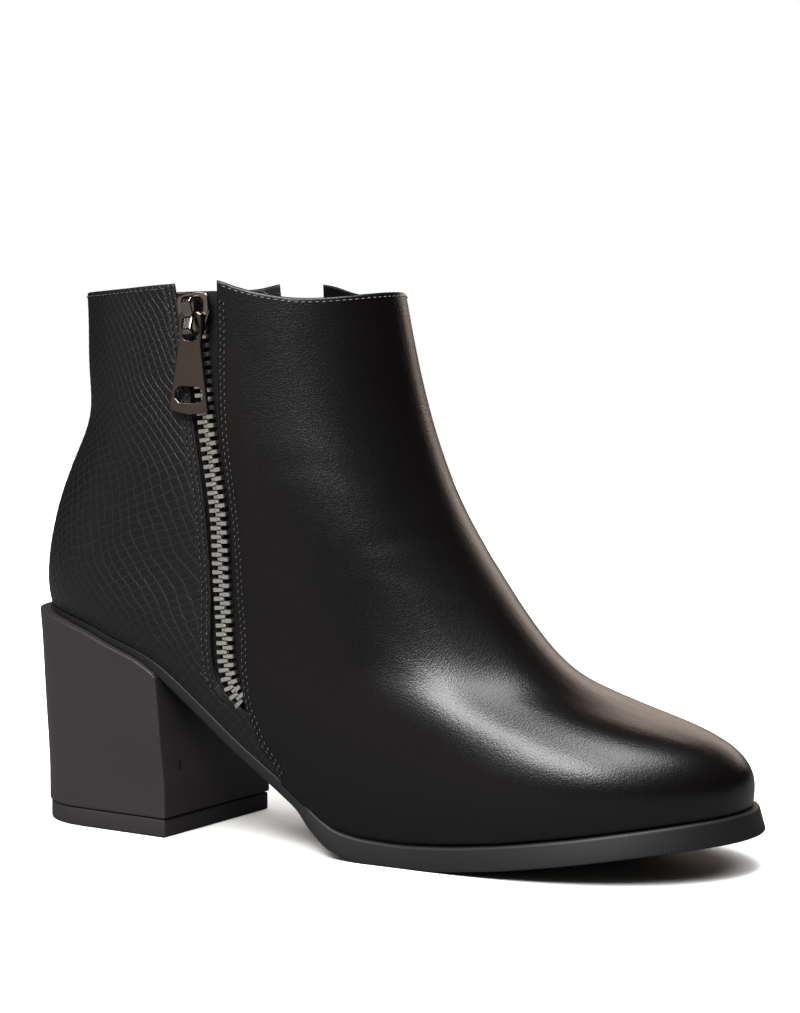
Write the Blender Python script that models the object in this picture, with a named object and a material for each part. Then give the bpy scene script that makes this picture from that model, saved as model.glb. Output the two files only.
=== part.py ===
"""Zip ankle boot on a stacked block heel, the right shoe of a pair.

Metres, up is plus Z, the toe points to plus X, the inner side of the foot is plus Y.
The origin is the centre of the heel tip's rest face on the floor.
"""
import math

import bmesh
import bpy
import numpy as np
from mathutils import Matrix, Vector
from mathutils.geometry import tessellate_polygon

for old in list(bpy.data.objects):
    bpy.data.objects.remove(old, do_unlink=True)

# Driving sizes
FOOT_LENGTH = 0.2405
BALL_WIDTH = 0.075
SHAFT_WIDTH = 0.068
SEAT_WIDTH = 0.055
SEAT_HEIGHT = 0.0702
COLLAR_HEIGHT = 0.1702
TOE_SPRING = 0.0122
WALL = 0.0020
PANEL_STEP = 0.0008
GAP = 0.0003
SOLE_GAP = 0.0004

# Sole and heel sizes
FORE_SOLE = 0.0066
WAIST_SOLE = 0.0033
SEAT_SOLE = 0.0015
WELT = 0.0024
HEEL_RIM = 0.0040
SOLE_FLARE = 0.0014
FLAT_BAND = 0.0004
TIP_THICKNESS = 0.0060
TIP_LENGTH = 0.060
TIP_WIDTH = 0.056
TIP_ROUND = 0.48
TIP_POWER = 2.25
TIP_INSET = 0.0004
HEEL_YAW = math.radians(-6.0)
BREAST_LATERAL = 0.243
BREAST_MEDIAL = 0.268
INSOLE_THICKNESS = 0.0025

# Zip sizes
TOOTH_PITCH = 0.00272
CHAIN_WIDTH = 0.0064
CHAIN_CORE = 0.0014
CHAIN_HEIGHT = 0.0020
TAPE_THICKNESS = 0.0006
TAPE_MARGIN = 0.0045
SLIDER_WIDTH = 0.0112
SLIDER_LENGTH = 0.0145
SLIDER_PLATE = 0.0013
PLATE_LOW = 0.0003
BRIDGE_WIDTH = 0.0028
BRIDGE_UNDER = 0.00455
BRIDGE_THICKNESS = 0.0012
PULL_LENGTH = 0.0305
PULL_THICKNESS = 0.0013
PULL_AXIS_HEIGHT = 0.00305
PULL_LEAN = math.radians(1.2)
GORE_THICKNESS = 0.0012
GORE_MARGIN = 0.0040

# Columns of the upper's mesh
FRONT_COLUMNS = 36
REAR_COLUMNS = 30

# Rings of the upper, from the edge at the sole up to the collar, one row per ring.
# back_x and front_x are shares of FOOT_LENGTH from the origin, back_up and front_up
# are shares of the height from the sole edge to the collar at the heel and at the toe.
# Radii are shares of half the SEAT_WIDTH.  Side widths are shares of half the ring's
# reference width, lateral then medial, at the heel, waist, ball and toe stations.
RING_COLUMNS = ("back_x", "back_up", "front_x", "front_up", "sag", "swing", "back_r",
                "heel", "waist_l", "waist_m", "ball_l", "ball_m", "toe_l", "toe_m", "nose_r")
RINGS = (
    (-0.1372, 0.000, 0.8524, 0.000, 1.00, 1.00, 0.98, 0.733, 0.787, 0.613, 0.970, 0.980, 0.813, 0.813, 1.02),
    (-0.1405, 0.068, 0.8536, 0.050, 0.86, 0.97, 1.02, 0.794, 0.858, 0.724, 1.030, 1.056, 0.845, 0.845, 0.98),
    (-0.1372, 0.168, 0.8391, 0.092, 0.68, 0.92, 1.00, 0.831, 0.898, 0.844, 1.036, 1.030, 0.812, 0.788, 0.87),
    (-0.1268, 0.278, 0.7983, 0.128, 0.48, 0.85, 0.96, 0.837, 0.915, 0.887, 0.986, 0.998, 0.702, 0.721, 0.75),
    (-0.1102, 0.388, 0.7152, 0.164, 0.32, 0.75, 0.92, 0.845, 0.936, 0.936, 0.928, 0.968, 0.632, 0.681, 0.67),
    (-0.0852, 0.508, 0.6170, 0.237, 0.18, 0.62, 0.89, 0.851, 0.983, 0.983, 0.932, 0.954, 0.636, 0.665, 0.70),
    (-0.0624, 0.638, 0.5297, 0.395, 0.08, 0.50, 0.88, 0.852, 1.019, 1.019, 0.967, 0.989, 0.674, 0.703, 0.76),
    (-0.0624, 0.778, 0.4611, 0.571, 0.02, 0.40, 0.89, 0.822, 1.022, 1.022, 0.982, 0.993, 0.692, 0.692, 0.80),
    (-0.0632, 0.898, 0.4133, 0.780, 0.00, 0.32, 0.91, 0.778, 1.009, 1.009, 0.949, 0.960, 0.662, 0.662, 0.80),
    (-0.0661, 1.000, 0.3842, 1.000, 0.00, 0.30, 0.92, 0.728, 0.998, 0.998, 0.927, 0.927, 0.618, 0.618, 0.78),
)
STATIONS = (0.0, 0.15, 0.45, 0.70, 0.90, 1.0)

# Line of the sole edge, share along the foot, rise toward the seat, rise toward the toe.
SOLE_LINE = (
    (0.000, 1.000, 0.000),
    (0.055, 0.974, 0.000),
    (0.116, 0.928, 0.000),
    (0.162, 0.873, 0.000),
    (0.206, 0.822, 0.000),
    (0.237, 0.772, 0.000),
    (0.265, 0.706, 0.000),
    (0.297, 0.617, 0.000),
    (0.372, 0.395, 0.000),
    (0.413, 0.284, 0.000),
    (0.445, 0.194, 0.000),
    (0.485, 0.077, 0.000),
    (0.511, 0.031, 0.000),
    (0.549, 0.006, 0.000),
    (0.595, 0.000, 0.000),
    (0.636, 0.000, 0.040),
    (0.719, 0.000, 0.220),
    (0.807, 0.000, 0.490),
    (0.915, 0.000, 0.830),
    (0.960, 0.000, 0.940),
    (1.000, 0.000, 1.000),
)

# Sole by station, share along the foot, share of waist thickness and of fore thickness
# over the seat's, share of the welt.
SOLE_BUILD = (
    (0.00, 0.00, 0.00, 0.00),
    (0.20, 0.35, 0.00, 0.00),
    (0.27, 1.00, 0.00, 0.10),
    (0.46, 1.00, 0.00, 0.25),
    (0.485, 1.00, 0.30, 0.60),
    (0.52, 1.00, 0.82, 0.95),
    (0.56, 1.00, 1.00, 1.00),
    (1.00, 1.00, 1.04, 1.10),
)

# Centre line of the last, share along the foot, offset as share of BALL_WIDTH.
CENTRE_LINE = (
    (0.00, 0.044),
    (0.14, 0.000),
    (0.26, -0.036),
    (0.42, -0.036),
    (0.60, 0.030),
    (0.80, 0.050),
    (1.00, 0.080),
)

# Collar edge, share along the ring, lift on the lateral and on the medial side in shares
# of the shaft width.
COLLAR_LINE = (
    (0.00, 0.000, 0.000),
    (0.30, 0.026, 0.014),
    (0.40, 0.038, 0.026),
    (0.46, 0.044, 0.046),
    (0.52, 0.053, 0.048),
    (0.60, 0.060, 0.042),
    (0.65, 0.036, 0.030),
    (0.71, 0.010, 0.004),
    (0.80, -0.016, -0.014),
    (0.88, -0.018, -0.016),
    (1.00, 0.006, 0.006),
)

# Zip slot on the lateral side, share up the side, slot rear edge and vamp edge as shares
# along the ring.
ZIP_LINE = (
    (0.000, 0.426, 0.433),
    (0.053, 0.414, 0.421),
    (0.074, 0.401, 0.408),
    (0.110, 0.394, 0.401),
    (0.145, 0.378, 0.394),
    (0.155, 0.359, 0.391),
    (0.170, 0.348, 0.390),
    (0.200, 0.343, 0.388),
    (0.260, 0.342, 0.388),
    (0.356, 0.351, 0.399),
    (0.450, 0.372, 0.421),
    (0.562, 0.399, 0.457),
    (0.677, 0.425, 0.494),
    (0.788, 0.454, 0.534),
    (0.870, 0.468, 0.563),
    (0.930, 0.468, 0.584),
    (1.000, 0.462, 0.603),
)
ZIP_BOTTOM = 0.155

# Middle of the zip chain, share up the side, share along the ring.
CHAIN_LINE = (
    (0.1890, 0.3685),
    (0.2050, 0.3660),
    (0.2592, 0.364),
    (0.3899, 0.378),
    (0.5779, 0.428),
    (0.7950, 0.492),
    (0.9030, 0.516),
    (1.0000, 0.528),
)
CHAIN_TOP = 0.985
SLIDER_PLACE = 0.980
PULL_HINGE = 0.0058

# Gore on the medial side, share up the side, gore rear edge and vamp edge.
GORE_LINE = (
    (0.000, 0.426, 0.433),
    (0.053, 0.414, 0.421),
    (0.074, 0.401, 0.408),
    (0.110, 0.394, 0.401),
    (0.155, 0.384, 0.391),
    (0.260, 0.381, 0.388),
    (0.356, 0.392, 0.399),
    (0.450, 0.413, 0.421),
    (0.500, 0.422, 0.436),
    (0.530, 0.419, 0.446),
    (0.562, 0.418, 0.457),
    (0.677, 0.424, 0.494),
    (0.788, 0.434, 0.534),
    (0.870, 0.442, 0.563),
    (1.000, 0.452, 0.603),
)
GORE_BOTTOM = 0.500

# Heel profile, share up the block, share of the way from the tip's outline to the rim.
HEEL_PROFILE = (
    (0.00, 0.00),
    (0.16, 0.01),
    (0.32, 0.15),
    (0.48, 0.36),
    (0.62, 0.52),
    (0.76, 0.66),
    (0.88, 0.80),
    (0.96, 0.93),
    (1.00, 1.00),
)


def curve_through(stations, values, at):
    """A natural cubic spline through values at stations, read at the given places."""
    x = np.asarray(stations, float)
    y = np.asarray(values, float)
    at = np.asarray(at, float)
    n = len(x)
    h = np.diff(x)
    slope = np.diff(y, axis=0) / h.reshape(-1, *([1] * (y.ndim - 1)))
    system = np.zeros((n, n))
    right = np.zeros_like(y)
    system[0, 0] = system[-1, -1] = 1.0
    for i in range(1, n - 1):
        system[i, i - 1] = h[i - 1]
        system[i, i] = 2.0 * (h[i - 1] + h[i])
        system[i, i + 1] = h[i]
        right[i] = 6.0 * (slope[i] - slope[i - 1])
    second = np.linalg.solve(system, right)
    k = np.clip(np.searchsorted(x, at, side="right") - 1, 0, n - 2)
    shape = at.shape + (1,) * (y.ndim - 1)
    hk = h[k].reshape(shape)
    left = (at - x[k]).reshape(shape)
    rest = hk - left
    cubic = (second[k] * rest**3 + second[k + 1] * left**3) / (6.0 * hk)
    line = (y[k] / hk - second[k] * hk / 6.0) * rest
    line = line + (y[k + 1] / hk - second[k + 1] * hk / 6.0) * left
    return cubic + line


def steady_curve(stations, values, at):
    """A monotone cubic through values at stations, without overshoot."""
    x = np.asarray(stations, float)
    y = np.asarray(values, float)
    at = np.clip(np.asarray(at, float), x[0], x[-1])
    h = np.diff(x)
    d = np.diff(y) / h
    m = np.zeros(len(x))
    m[0] = d[0]
    m[-1] = d[-1]
    for i in range(1, len(x) - 1):
        if d[i - 1] * d[i] > 0.0:
            w1 = 2.0 * h[i] + h[i - 1]
            w2 = h[i] + 2.0 * h[i - 1]
            m[i] = (w1 + w2) / (w1 / d[i - 1] + w2 / d[i])
    k = np.clip(np.searchsorted(x, at, side="right") - 1, 0, len(x) - 2)
    t = (at - x[k]) / h[k]
    a = (1.0 + 2.0 * t) * (1.0 - t) ** 2 * y[k] + t * (1.0 - t) ** 2 * h[k] * m[k]
    b = t * t * (3.0 - 2.0 * t) * y[k + 1] + t * t * (t - 1.0) * h[k] * m[k + 1]
    return a + b


def column(table, index):
    return [row[index] for row in table]


def sole_line(along):
    """Height of the sole edge of the upper at a share along the foot."""
    seat = steady_curve(column(SOLE_LINE, 0), column(SOLE_LINE, 1), along)
    toe = steady_curve(column(SOLE_LINE, 0), column(SOLE_LINE, 2), along)
    low = FORE_SOLE + SOLE_GAP
    return low + seat * (SEAT_HEIGHT - low) + toe * TOE_SPRING


def centre_line(along):
    """Sideways place of the middle of the last at a share along the foot."""
    return BALL_WIDTH * curve_through(column(CENTRE_LINE, 0), column(CENTRE_LINE, 1), along)


RING_PLACES = np.linspace(0.0, 1.0, len(RINGS))
RING_TABLE = np.array(RINGS)


def upper_surface(phi, up):
    """Outer face of the upper, phi runs round from the heel over the lateral side."""
    phi, up = np.broadcast_arrays(np.asarray(phi, float), np.asarray(up, float))
    shape = phi.shape
    phi = np.mod(phi.ravel(), 2.0 * math.pi)
    up = up.ravel()
    ring = dict(zip(RING_COLUMNS, curve_through(RING_PLACES, RING_TABLE, up).T))
    side = np.where(phi <= math.pi, 0, 1)
    round_ = np.where(side == 0, phi, 2.0 * math.pi - phi)
    along = 0.5 * (1.0 - np.cos(round_))
    back_x = ring["back_x"] * FOOT_LENGTH
    front_x = ring["front_x"] * FOOT_LENGTH
    length = front_x - back_x
    toe_z = FORE_SOLE + SOLE_GAP + TOE_SPRING
    back_z = SEAT_HEIGHT + ring["back_up"] * (COLLAR_HEIGHT - SEAT_HEIGHT)
    front_z = toe_z + ring["front_up"] * (COLLAR_HEIGHT - toe_z)
    chord = SEAT_HEIGHT + along * (toe_z - SEAT_HEIGHT)
    foot_along = (back_x + along * length) / FOOT_LENGTH - RINGS[0][0]
    z = back_z + along * (front_z - back_z) + ring["sag"] * (sole_line(along) - chord)
    lift_side = np.where(
        side == 0,
        curve_through(column(COLLAR_LINE, 0), column(COLLAR_LINE, 1), along),
        curve_through(column(COLLAR_LINE, 0), column(COLLAR_LINE, 2), along))
    z = z + SHAFT_WIDTH * lift_side * np.clip((up - 0.6) / 0.4, 0.0, 1.0) ** 2
    # The reference width runs from the ball width at the sole to the shaft width.
    blend = np.clip(up / 0.75, 0.0, 1.0)
    blend = blend * blend * (3.0 - 2.0 * blend)
    half = 0.5 * (BALL_WIDTH + (SHAFT_WIDTH - BALL_WIDTH) * blend)
    widths = np.stack([
        ring["heel"],
        np.where(side == 0, ring["waist_l"], ring["waist_m"]),
        np.where(side == 0, ring["ball_l"], ring["ball_m"]),
        np.where(side == 0, ring["toe_l"], ring["toe_m"])], axis=0) * half
    knots = np.arccos(1.0 - 2.0 * np.array(STATIONS))
    coeff = [np.sqrt(np.maximum(ring["back_r"] * 0.5 * SEAT_WIDTH * length * 0.5, 0.0))]
    for i in range(4):
        coeff.append(widths[i] / math.sin(knots[i + 1]))
    coeff.append(np.sqrt(np.maximum(ring["nose_r"] * 0.5 * SEAT_WIDTH * length * 0.5, 0.0)))
    coeff = np.stack(coeff, axis=0)
    full = spline_rows(knots, coeff, round_)
    y = np.where(side == 0, -1.0, 1.0) * full * np.sin(round_)
    y = y + ring["swing"] * centre_line(np.clip(foot_along, 0.0, 1.0))
    points = np.stack([back_x + along * length, y, z], axis=-1)
    return points.reshape(shape + (3,))


def spline_rows(x, y, at):
    """Natural splines side by side, column i of y is read at at[i]."""
    n = len(x)
    h = np.diff(x)
    slope = np.diff(y, axis=0) / h[:, None]
    system = np.zeros((n, n))
    right = np.zeros_like(y)
    system[0, 0] = system[-1, -1] = 1.0
    for i in range(1, n - 1):
        system[i, i - 1] = h[i - 1]
        system[i, i] = 2.0 * (h[i - 1] + h[i])
        system[i, i + 1] = h[i]
        right[i] = 6.0 * (slope[i] - slope[i - 1])
    second = np.linalg.solve(system, right)
    k = np.clip(np.searchsorted(x, at, side="right") - 1, 0, n - 2)
    cols = np.arange(y.shape[1])
    left = at - x[k]
    rest = h[k] - left
    cubic = (second[k, cols] * rest**3 + second[k + 1, cols] * left**3) / (6.0 * h[k])
    line = (y[k, cols] / h[k] - second[k, cols] * h[k] / 6.0) * rest
    line = line + (y[k + 1, cols] / h[k] - second[k + 1, cols] * h[k] / 6.0) * left
    return cubic + line


def surface_frame(phi, up):
    """Point, unit normal, tangent round and tangent up of the outer face."""
    step = 1e-4
    low = np.clip(up - step, 0.0, 1.0)
    high = np.clip(up + step, 0.0, 1.0)
    p = upper_surface(phi, up)
    du = upper_surface(phi, high) - upper_surface(phi, low)
    dr = upper_surface(phi + step, up) - upper_surface(phi - step, up)
    normal = np.cross(dr, du)
    normal = normal / np.linalg.norm(normal, axis=-1, keepdims=True)
    dr = dr / np.linalg.norm(dr, axis=-1, keepdims=True)
    tangent = np.cross(normal, dr)
    return p, normal, dr, tangent


def at_share(share):
    """Angle round the ring of a share along it, on the lateral side."""
    return np.arccos(1.0 - 2.0 * np.asarray(share, float))


def zip_edges(up):
    """Angles of the slot's rear edge and of the vamp edge."""
    rear = steady_curve(column(ZIP_LINE, 0), column(ZIP_LINE, 1), up)
    front = steady_curve(column(ZIP_LINE, 0), column(ZIP_LINE, 2), up)
    return at_share(rear), at_share(front)


def gore_edges(up):
    """Angles of the gore's rear edge and of the vamp edge on the medial side."""
    rear = steady_curve(column(GORE_LINE, 0), column(GORE_LINE, 1), up)
    front = steady_curve(column(GORE_LINE, 0), column(GORE_LINE, 2), up)
    return 2.0 * math.pi - at_share(rear), 2.0 * math.pi - at_share(front)


def offset_face(phi, up, depth):
    """The outer face moved inward by a depth."""
    point, normal, _, _ = surface_frame(phi, up)
    return point - normal * np.asarray(depth, float)[..., None]


# Building the pieces


def shell_from_grid(outer, inner, keep, closed):
    """Vertices and faces of a wall between two grids, cells left out where keep is False."""
    rows, cols = outer.shape[:2]
    cell_rows, cell_cols = keep.shape
    ids = {}
    verts = []

    def vertex(side, r, c):
        c = c % cols if closed else c
        key = (side, r, c)
        if key not in ids:
            ids[key] = len(verts)
            verts.append((outer if side == 0 else inner)[r, c])
        return ids[key]

    def kept(r, c):
        if closed:
            c = c % cell_cols
        if r < 0 or r >= cell_rows or c < 0 or c >= cell_cols:
            return False
        return bool(keep[r, c])

    faces = []
    for r in range(cell_rows):
        for c in range(cell_cols):
            if not kept(r, c):
                continue
            a = [vertex(0, r, c), vertex(0, r, c + 1), vertex(0, r + 1, c + 1), vertex(0, r + 1, c)]
            b = [vertex(1, r, c), vertex(1, r, c + 1), vertex(1, r + 1, c + 1), vertex(1, r + 1, c)]
            faces.append(a)
            faces.append(b[::-1])
            for i, (dr, dc) in enumerate(((-1, 0), (0, 1), (1, 0), (0, -1))):
                if not kept(r + dr, c + dc):
                    k = (i + 1) % 4
                    faces.append([a[k], a[i], b[i], b[k]])
    return verts, faces


def plate_from_rails(top_a, top_b, low_a, low_b):
    """A plate between two rails that meet at both ends, with its own upper and lower face."""
    n = len(top_a)
    verts = []
    index = {}
    for name, rail, other in (("ta", top_a, None), ("tb", top_b, "ta"),
                              ("la", low_a, None), ("lb", low_b, "la")):
        for i in range(n):
            if other and i in (0, n - 1):
                index[name, i] = index[other, i]
            else:
                index[name, i] = len(verts)
                verts.append(rail[i])
    faces = []
    for i in range(n - 1):
        top = [index["ta", i], index["ta", i + 1], index["tb", i + 1], index["tb", i]]
        low = [index["la", i], index["la", i + 1], index["lb", i + 1], index["lb", i]]
        for loop, flip in ((top, False), (low, True)):
            loop = [v for k, v in enumerate(loop) if v not in loop[:k]]
            faces.append(loop[::-1] if flip else loop)
        faces.append([index["ta", i + 1], index["ta", i], index["la", i], index["la", i + 1]])
        faces.append([index["tb", i], index["tb", i + 1], index["lb", i + 1], index["lb", i]])
    return verts, faces


def make_object(name, verts, faces, colour, roughness, metallic=0.0, origin=None, smooth=False):
    """An object in world axes, closed, outward faces, with its own Principled material."""
    origin = Vector(origin) if origin is not None else Vector((0.0, 0.0, 0.0))
    mesh = bpy.data.meshes.new(name)
    mesh.from_pydata([tuple(Vector([float(c) for c in v]) - origin) for v in verts], [], faces)
    mesh.validate()
    work = bmesh.new()
    work.from_mesh(mesh)
    bmesh.ops.recalc_face_normals(work, faces=work.faces)
    bmesh.ops.triangulate(work, faces=work.faces, quad_method="BEAUTY", ngon_method="BEAUTY")
    work.to_mesh(mesh)
    work.free()
    obj = bpy.data.objects.new(name, mesh)
    obj.location = origin
    bpy.context.scene.collection.objects.link(obj)
    material = bpy.data.materials.new(name)
    material.use_nodes = True
    shader = material.node_tree.nodes["Principled BSDF"]
    shader.inputs["Base Color"].default_value = (*colour, 1.0)
    shader.inputs["Roughness"].default_value = roughness
    shader.inputs["Metallic"].default_value = metallic
    mesh.materials.append(material)
    if smooth:
        for polygon in mesh.polygons:
            polygon.use_smooth = True
    return obj


def upper_columns(up):
    """Angles of all columns at one height, and which of them carry the raised panel."""
    zip_rear, zip_front = zip_edges(up)
    gore_rear, gore_front = gore_edges(up)
    length = (RINGS[0][2] - RINGS[0][0]) * FOOT_LENGTH
    step = 0.00035 / (0.5 * length)
    front = np.linspace(zip_front, gore_front, FRONT_COLUMNS)
    gore_step = gore_front + step / max(0.35, abs(math.sin(gore_front)))
    gore_mid = 0.5 * (gore_step + gore_rear)
    rear = np.linspace(gore_rear, 2.0 * math.pi + zip_rear, REAR_COLUMNS)
    zip_step = zip_front - step / max(0.35, abs(math.sin(zip_front)))
    zip_mid = 0.5 * (zip_rear + zip_step)
    tail = 2.0 * math.pi
    return np.concatenate([front, [gore_step, gore_mid], rear, [zip_mid + tail, zip_step + tail]])


def upper_rows():
    low = np.linspace(0.0, ZIP_BOTTOM, 5)
    bend = np.array([0.168, 0.187, 0.215])
    middle = np.linspace(0.255, GORE_BOTTOM, 6)
    lift = np.array([0.52, 0.55])
    high = np.linspace(0.60, 1.0, 8)
    return np.concatenate([low, bend, middle, lift, high])


def build_upper():
    rows = upper_rows()
    phi = np.array([upper_columns(float(up)) for up in rows])
    up = np.repeat(rows[:, None], phi.shape[1], axis=1)
    raised = np.zeros(phi.shape[1])
    raised[:FRONT_COLUMNS] = PANEL_STEP
    outer = offset_face(phi, up, np.broadcast_to(-raised, phi.shape))
    inner = offset_face(phi, up, np.full(phi.shape, WALL))
    for face in (outer, inner):
        along = np.clip(face[0, :, 0] / FOOT_LENGTH - RINGS[0][0], 0.0, 1.0)
        face[0, :, 2] = sole_line(along)
    keep = np.ones((len(rows) - 1, phi.shape[1]), bool)
    zip_open = rows[:-1] >= ZIP_BOTTOM - 1e-9
    gore_open = rows[:-1] >= GORE_BOTTOM - 1e-9
    last = phi.shape[1] - 1
    for c in (last - 2, last - 1, last):
        keep[zip_open, c] = False
    for c in (FRONT_COLUMNS - 1, FRONT_COLUMNS, FRONT_COLUMNS + 1):
        keep[gore_open, c] = False
    verts, faces = shell_from_grid(outer, inner, keep, True)
    return make_object("upper", verts, faces, (0.012, 0.011, 0.011), 0.38)


def edge_rails(shares, out_share, welt):
    """Lateral and medial rails of the sole edge, moved out by a welt, at given shares."""
    rails = []
    for sign in (1.0, -1.0):
        phi = at_share(np.clip(shares, 0.0, 1.0))
        phi = phi if sign > 0 else 2.0 * math.pi - phi
        step = 1e-3
        point = upper_surface(phi, 0.0)
        ahead = upper_surface(phi + step, 0.0) - upper_surface(phi - step, 0.0)
        out = np.stack([ahead[:, 1], -ahead[:, 0], np.zeros(len(shares))], axis=-1)
        out = out / np.linalg.norm(out, axis=-1, keepdims=True)
        rails.append(point + out * (welt * out_share)[:, None])
    rails[1][0] = rails[0][0]
    rails[1][-1] = rails[0][-1]
    return rails


def sole_shares(count):
    return 0.5 * (1.0 - np.cos(np.linspace(0.0, math.pi, count)))


def sole_thickness(along):
    waist = steady_curve(column(SOLE_BUILD, 0), column(SOLE_BUILD, 1), along)
    fore = steady_curve(column(SOLE_BUILD, 0), column(SOLE_BUILD, 2), along)
    return SEAT_SOLE + waist * (WAIST_SOLE - SEAT_SOLE) + fore * (FORE_SOLE - WAIST_SOLE)


def sole_slope(along):
    step = 0.004
    high = np.clip(along + step, 0.0, 1.0)
    low = np.clip(along - step, 0.0, 1.0)
    return (sole_line(high) - sole_line(low)) / ((high - low) * FOOT_LENGTH)


def lower_rail(rail, depth, floor=None):
    """A rail moved down square to the sole line, kept on or above the floor."""
    along = np.clip((rail[:, 0] / FOOT_LENGTH) - RINGS[0][0], 0.0, 1.0)
    slope = sole_slope(along)
    size = np.sqrt(1.0 + slope * slope)
    low = rail.copy()
    low[:, 0] += depth * slope / size
    low[:, 2] -= depth / size
    if floor is not None:
        low[:, 2] = np.maximum(low[:, 2], floor)
    return low


def build_outsole():
    shares = sole_shares(81)
    welt = steady_curve(column(SOLE_BUILD, 0), column(SOLE_BUILD, 3), shares)
    tops = edge_rails(shares, welt, WELT)
    flared = edge_rails(shares, welt, WELT + SOLE_FLARE)
    depth = sole_thickness(shares)
    lows = []
    for rail, wide in zip(tops, flared):
        along = np.clip(rail[:, 0] / FOOT_LENGTH - RINGS[0][0], 0.0, 1.0)
        rail[:, 2] = sole_line(along) - SOLE_GAP
        low = lower_rail(rail, depth)
        low[:, :2] += wide[:, :2] - rail[:, :2]
        fore = steady_curve(column(SOLE_BUILD, 0), column(SOLE_BUILD, 2), along)
        low[:, 2] = np.maximum(low[:, 2] - FLAT_BAND * fore, 0.0)
        lows.append(low)
    verts, faces = plate_from_rails(tops[0], tops[1], lows[0], lows[1])
    return make_object("outsole", verts, faces, (0.018, 0.017, 0.017), 0.55)


def build_insole():
    shares = sole_shares(49)
    tops = edge_rails(shares, -np.ones(len(shares)), WALL + 2.0 * GAP)
    lows = []
    highs = []
    for rail in tops:
        along = np.clip(rail[:, 0] / FOOT_LENGTH - RINGS[0][0], 0.0, 1.0)
        rail[:, 2] = sole_line(along)
        lows.append(rail)
        high = rail.copy()
        high[:, 2] += INSOLE_THICKNESS
        highs.append(high)
    verts, faces = plate_from_rails(highs[0], highs[1], lows[0], lows[1])
    return make_object("insole", verts, faces, (0.05, 0.045, 0.04), 0.8)


def tip_outline(count, inset):
    """A flat fronted loop turned by the heel's yaw, from the lateral breast corner round."""
    half = 0.5 * TIP_WIDTH - inset
    back = -0.5 * TIP_LENGTH + inset
    front = 0.5 * TIP_LENGTH - inset
    depth = TIP_ROUND * TIP_WIDTH
    turn = np.linspace(-0.5 * math.pi, 0.5 * math.pi, 181)
    x = back + depth - depth * np.abs(np.cos(turn)) ** (2.0 / TIP_POWER)
    y = half * np.sign(np.sin(turn)) * np.abs(np.sin(turn)) ** (2.0 / TIP_POWER)
    x = np.concatenate([[front], x, [front]])
    y = np.concatenate([[-half], y, [half]])
    run = np.concatenate([[0.0], np.cumsum(np.hypot(np.diff(x), np.diff(y)))])
    at = np.linspace(0.0, run[-1], count)
    x, y = np.interp(at, run, x), np.interp(at, run, y)
    turned_x = x * math.cos(HEEL_YAW) - y * math.sin(HEEL_YAW)
    turned_y = x * math.sin(HEEL_YAW) + y * math.cos(HEEL_YAW)
    return np.column_stack([turned_x, turned_y])


def rim_outline(count):
    """The heel's top loop, outside the upper by the rim, with its height at each point."""
    lateral = float(at_share(BREAST_LATERAL))
    medial = float(at_share(BREAST_MEDIAL))
    phi = np.linspace(lateral, -medial, 241)
    step = 1e-3
    point = upper_surface(phi, 0.0)
    ahead = upper_surface(phi + step, 0.0) - upper_surface(phi - step, 0.0)
    out = np.stack([ahead[:, 1], -ahead[:, 0], np.zeros(len(phi))], axis=-1)
    out = out / np.linalg.norm(out, axis=-1, keepdims=True)
    rim = HEEL_RIM * (0.5 + 0.5 * np.cos(np.clip(np.abs(phi) / lateral, 0.0, 1.0) * 0.5 * math.pi))
    point = point + out * rim[:, None]
    run = np.concatenate([[0.0], np.cumsum(np.linalg.norm(np.diff(point[:, :2], axis=0), axis=1))])
    at = np.linspace(0.0, run[-1], count)
    x = np.interp(at, run, point[:, 0])
    y = np.interp(at, run, point[:, 1])
    along = np.clip(x / FOOT_LENGTH - RINGS[0][0], 0.0, 1.0)
    slope = sole_slope(along)
    depth = (sole_thickness(along) + GAP) * np.sqrt(1.0 + slope * slope)
    z = sole_line(along) - SOLE_GAP - depth
    return np.stack([x, y, z], axis=-1)


def build_heel():
    count = 41
    rim = rim_outline(count)
    foot = tip_outline(count, 0.0)
    rows = np.concatenate([np.linspace(0.0, 0.88, 8), [0.94, 1.0]])
    share = steady_curve(column(HEEL_PROFILE, 0), column(HEEL_PROFILE, 1), rows)
    verts = []
    for h, b in zip(rows, share):
        xy = foot * (1.0 - b) + rim[:, :2] * b
        z = TIP_THICKNESS + h * (rim[:, 2] - TIP_THICKNESS)
        verts.extend(np.column_stack([xy, z]))
    faces = []
    for r in range(len(rows) - 1):
        for c in range(count):
            k = (c + 1) % count
            faces.append([r * count + c, r * count + k, (r + 1) * count + k, (r + 1) * count + c])
    for r, flip in ((0, True), (len(rows) - 1, False)):
        for c in range(count // 2):
            loop = [r * count + c, r * count + c + 1, r * count + count - 2 - c, r * count + count - 1 - c]
            loop = [v for k, v in enumerate(loop) if v not in loop[:k]]
            faces.append(loop[::-1] if flip else loop)
    block = make_object("heel_block", verts, faces, (0.035, 0.031, 0.031), 0.5)
    loop = tip_outline(count, TIP_INSET)
    verts = [(x, y, 0.0) for x, y in loop] + [(x, y, TIP_THICKNESS - GAP) for x, y in loop]
    faces = [[c, (c + 1) % count, count + (c + 1) % count, count + c] for c in range(count)]
    faces.append(list(range(count))[::-1])
    faces.append(list(range(count, 2 * count)))
    tip = make_object("heel_tip", verts, faces, (0.045, 0.042, 0.042), 0.6)
    return block, tip


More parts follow.
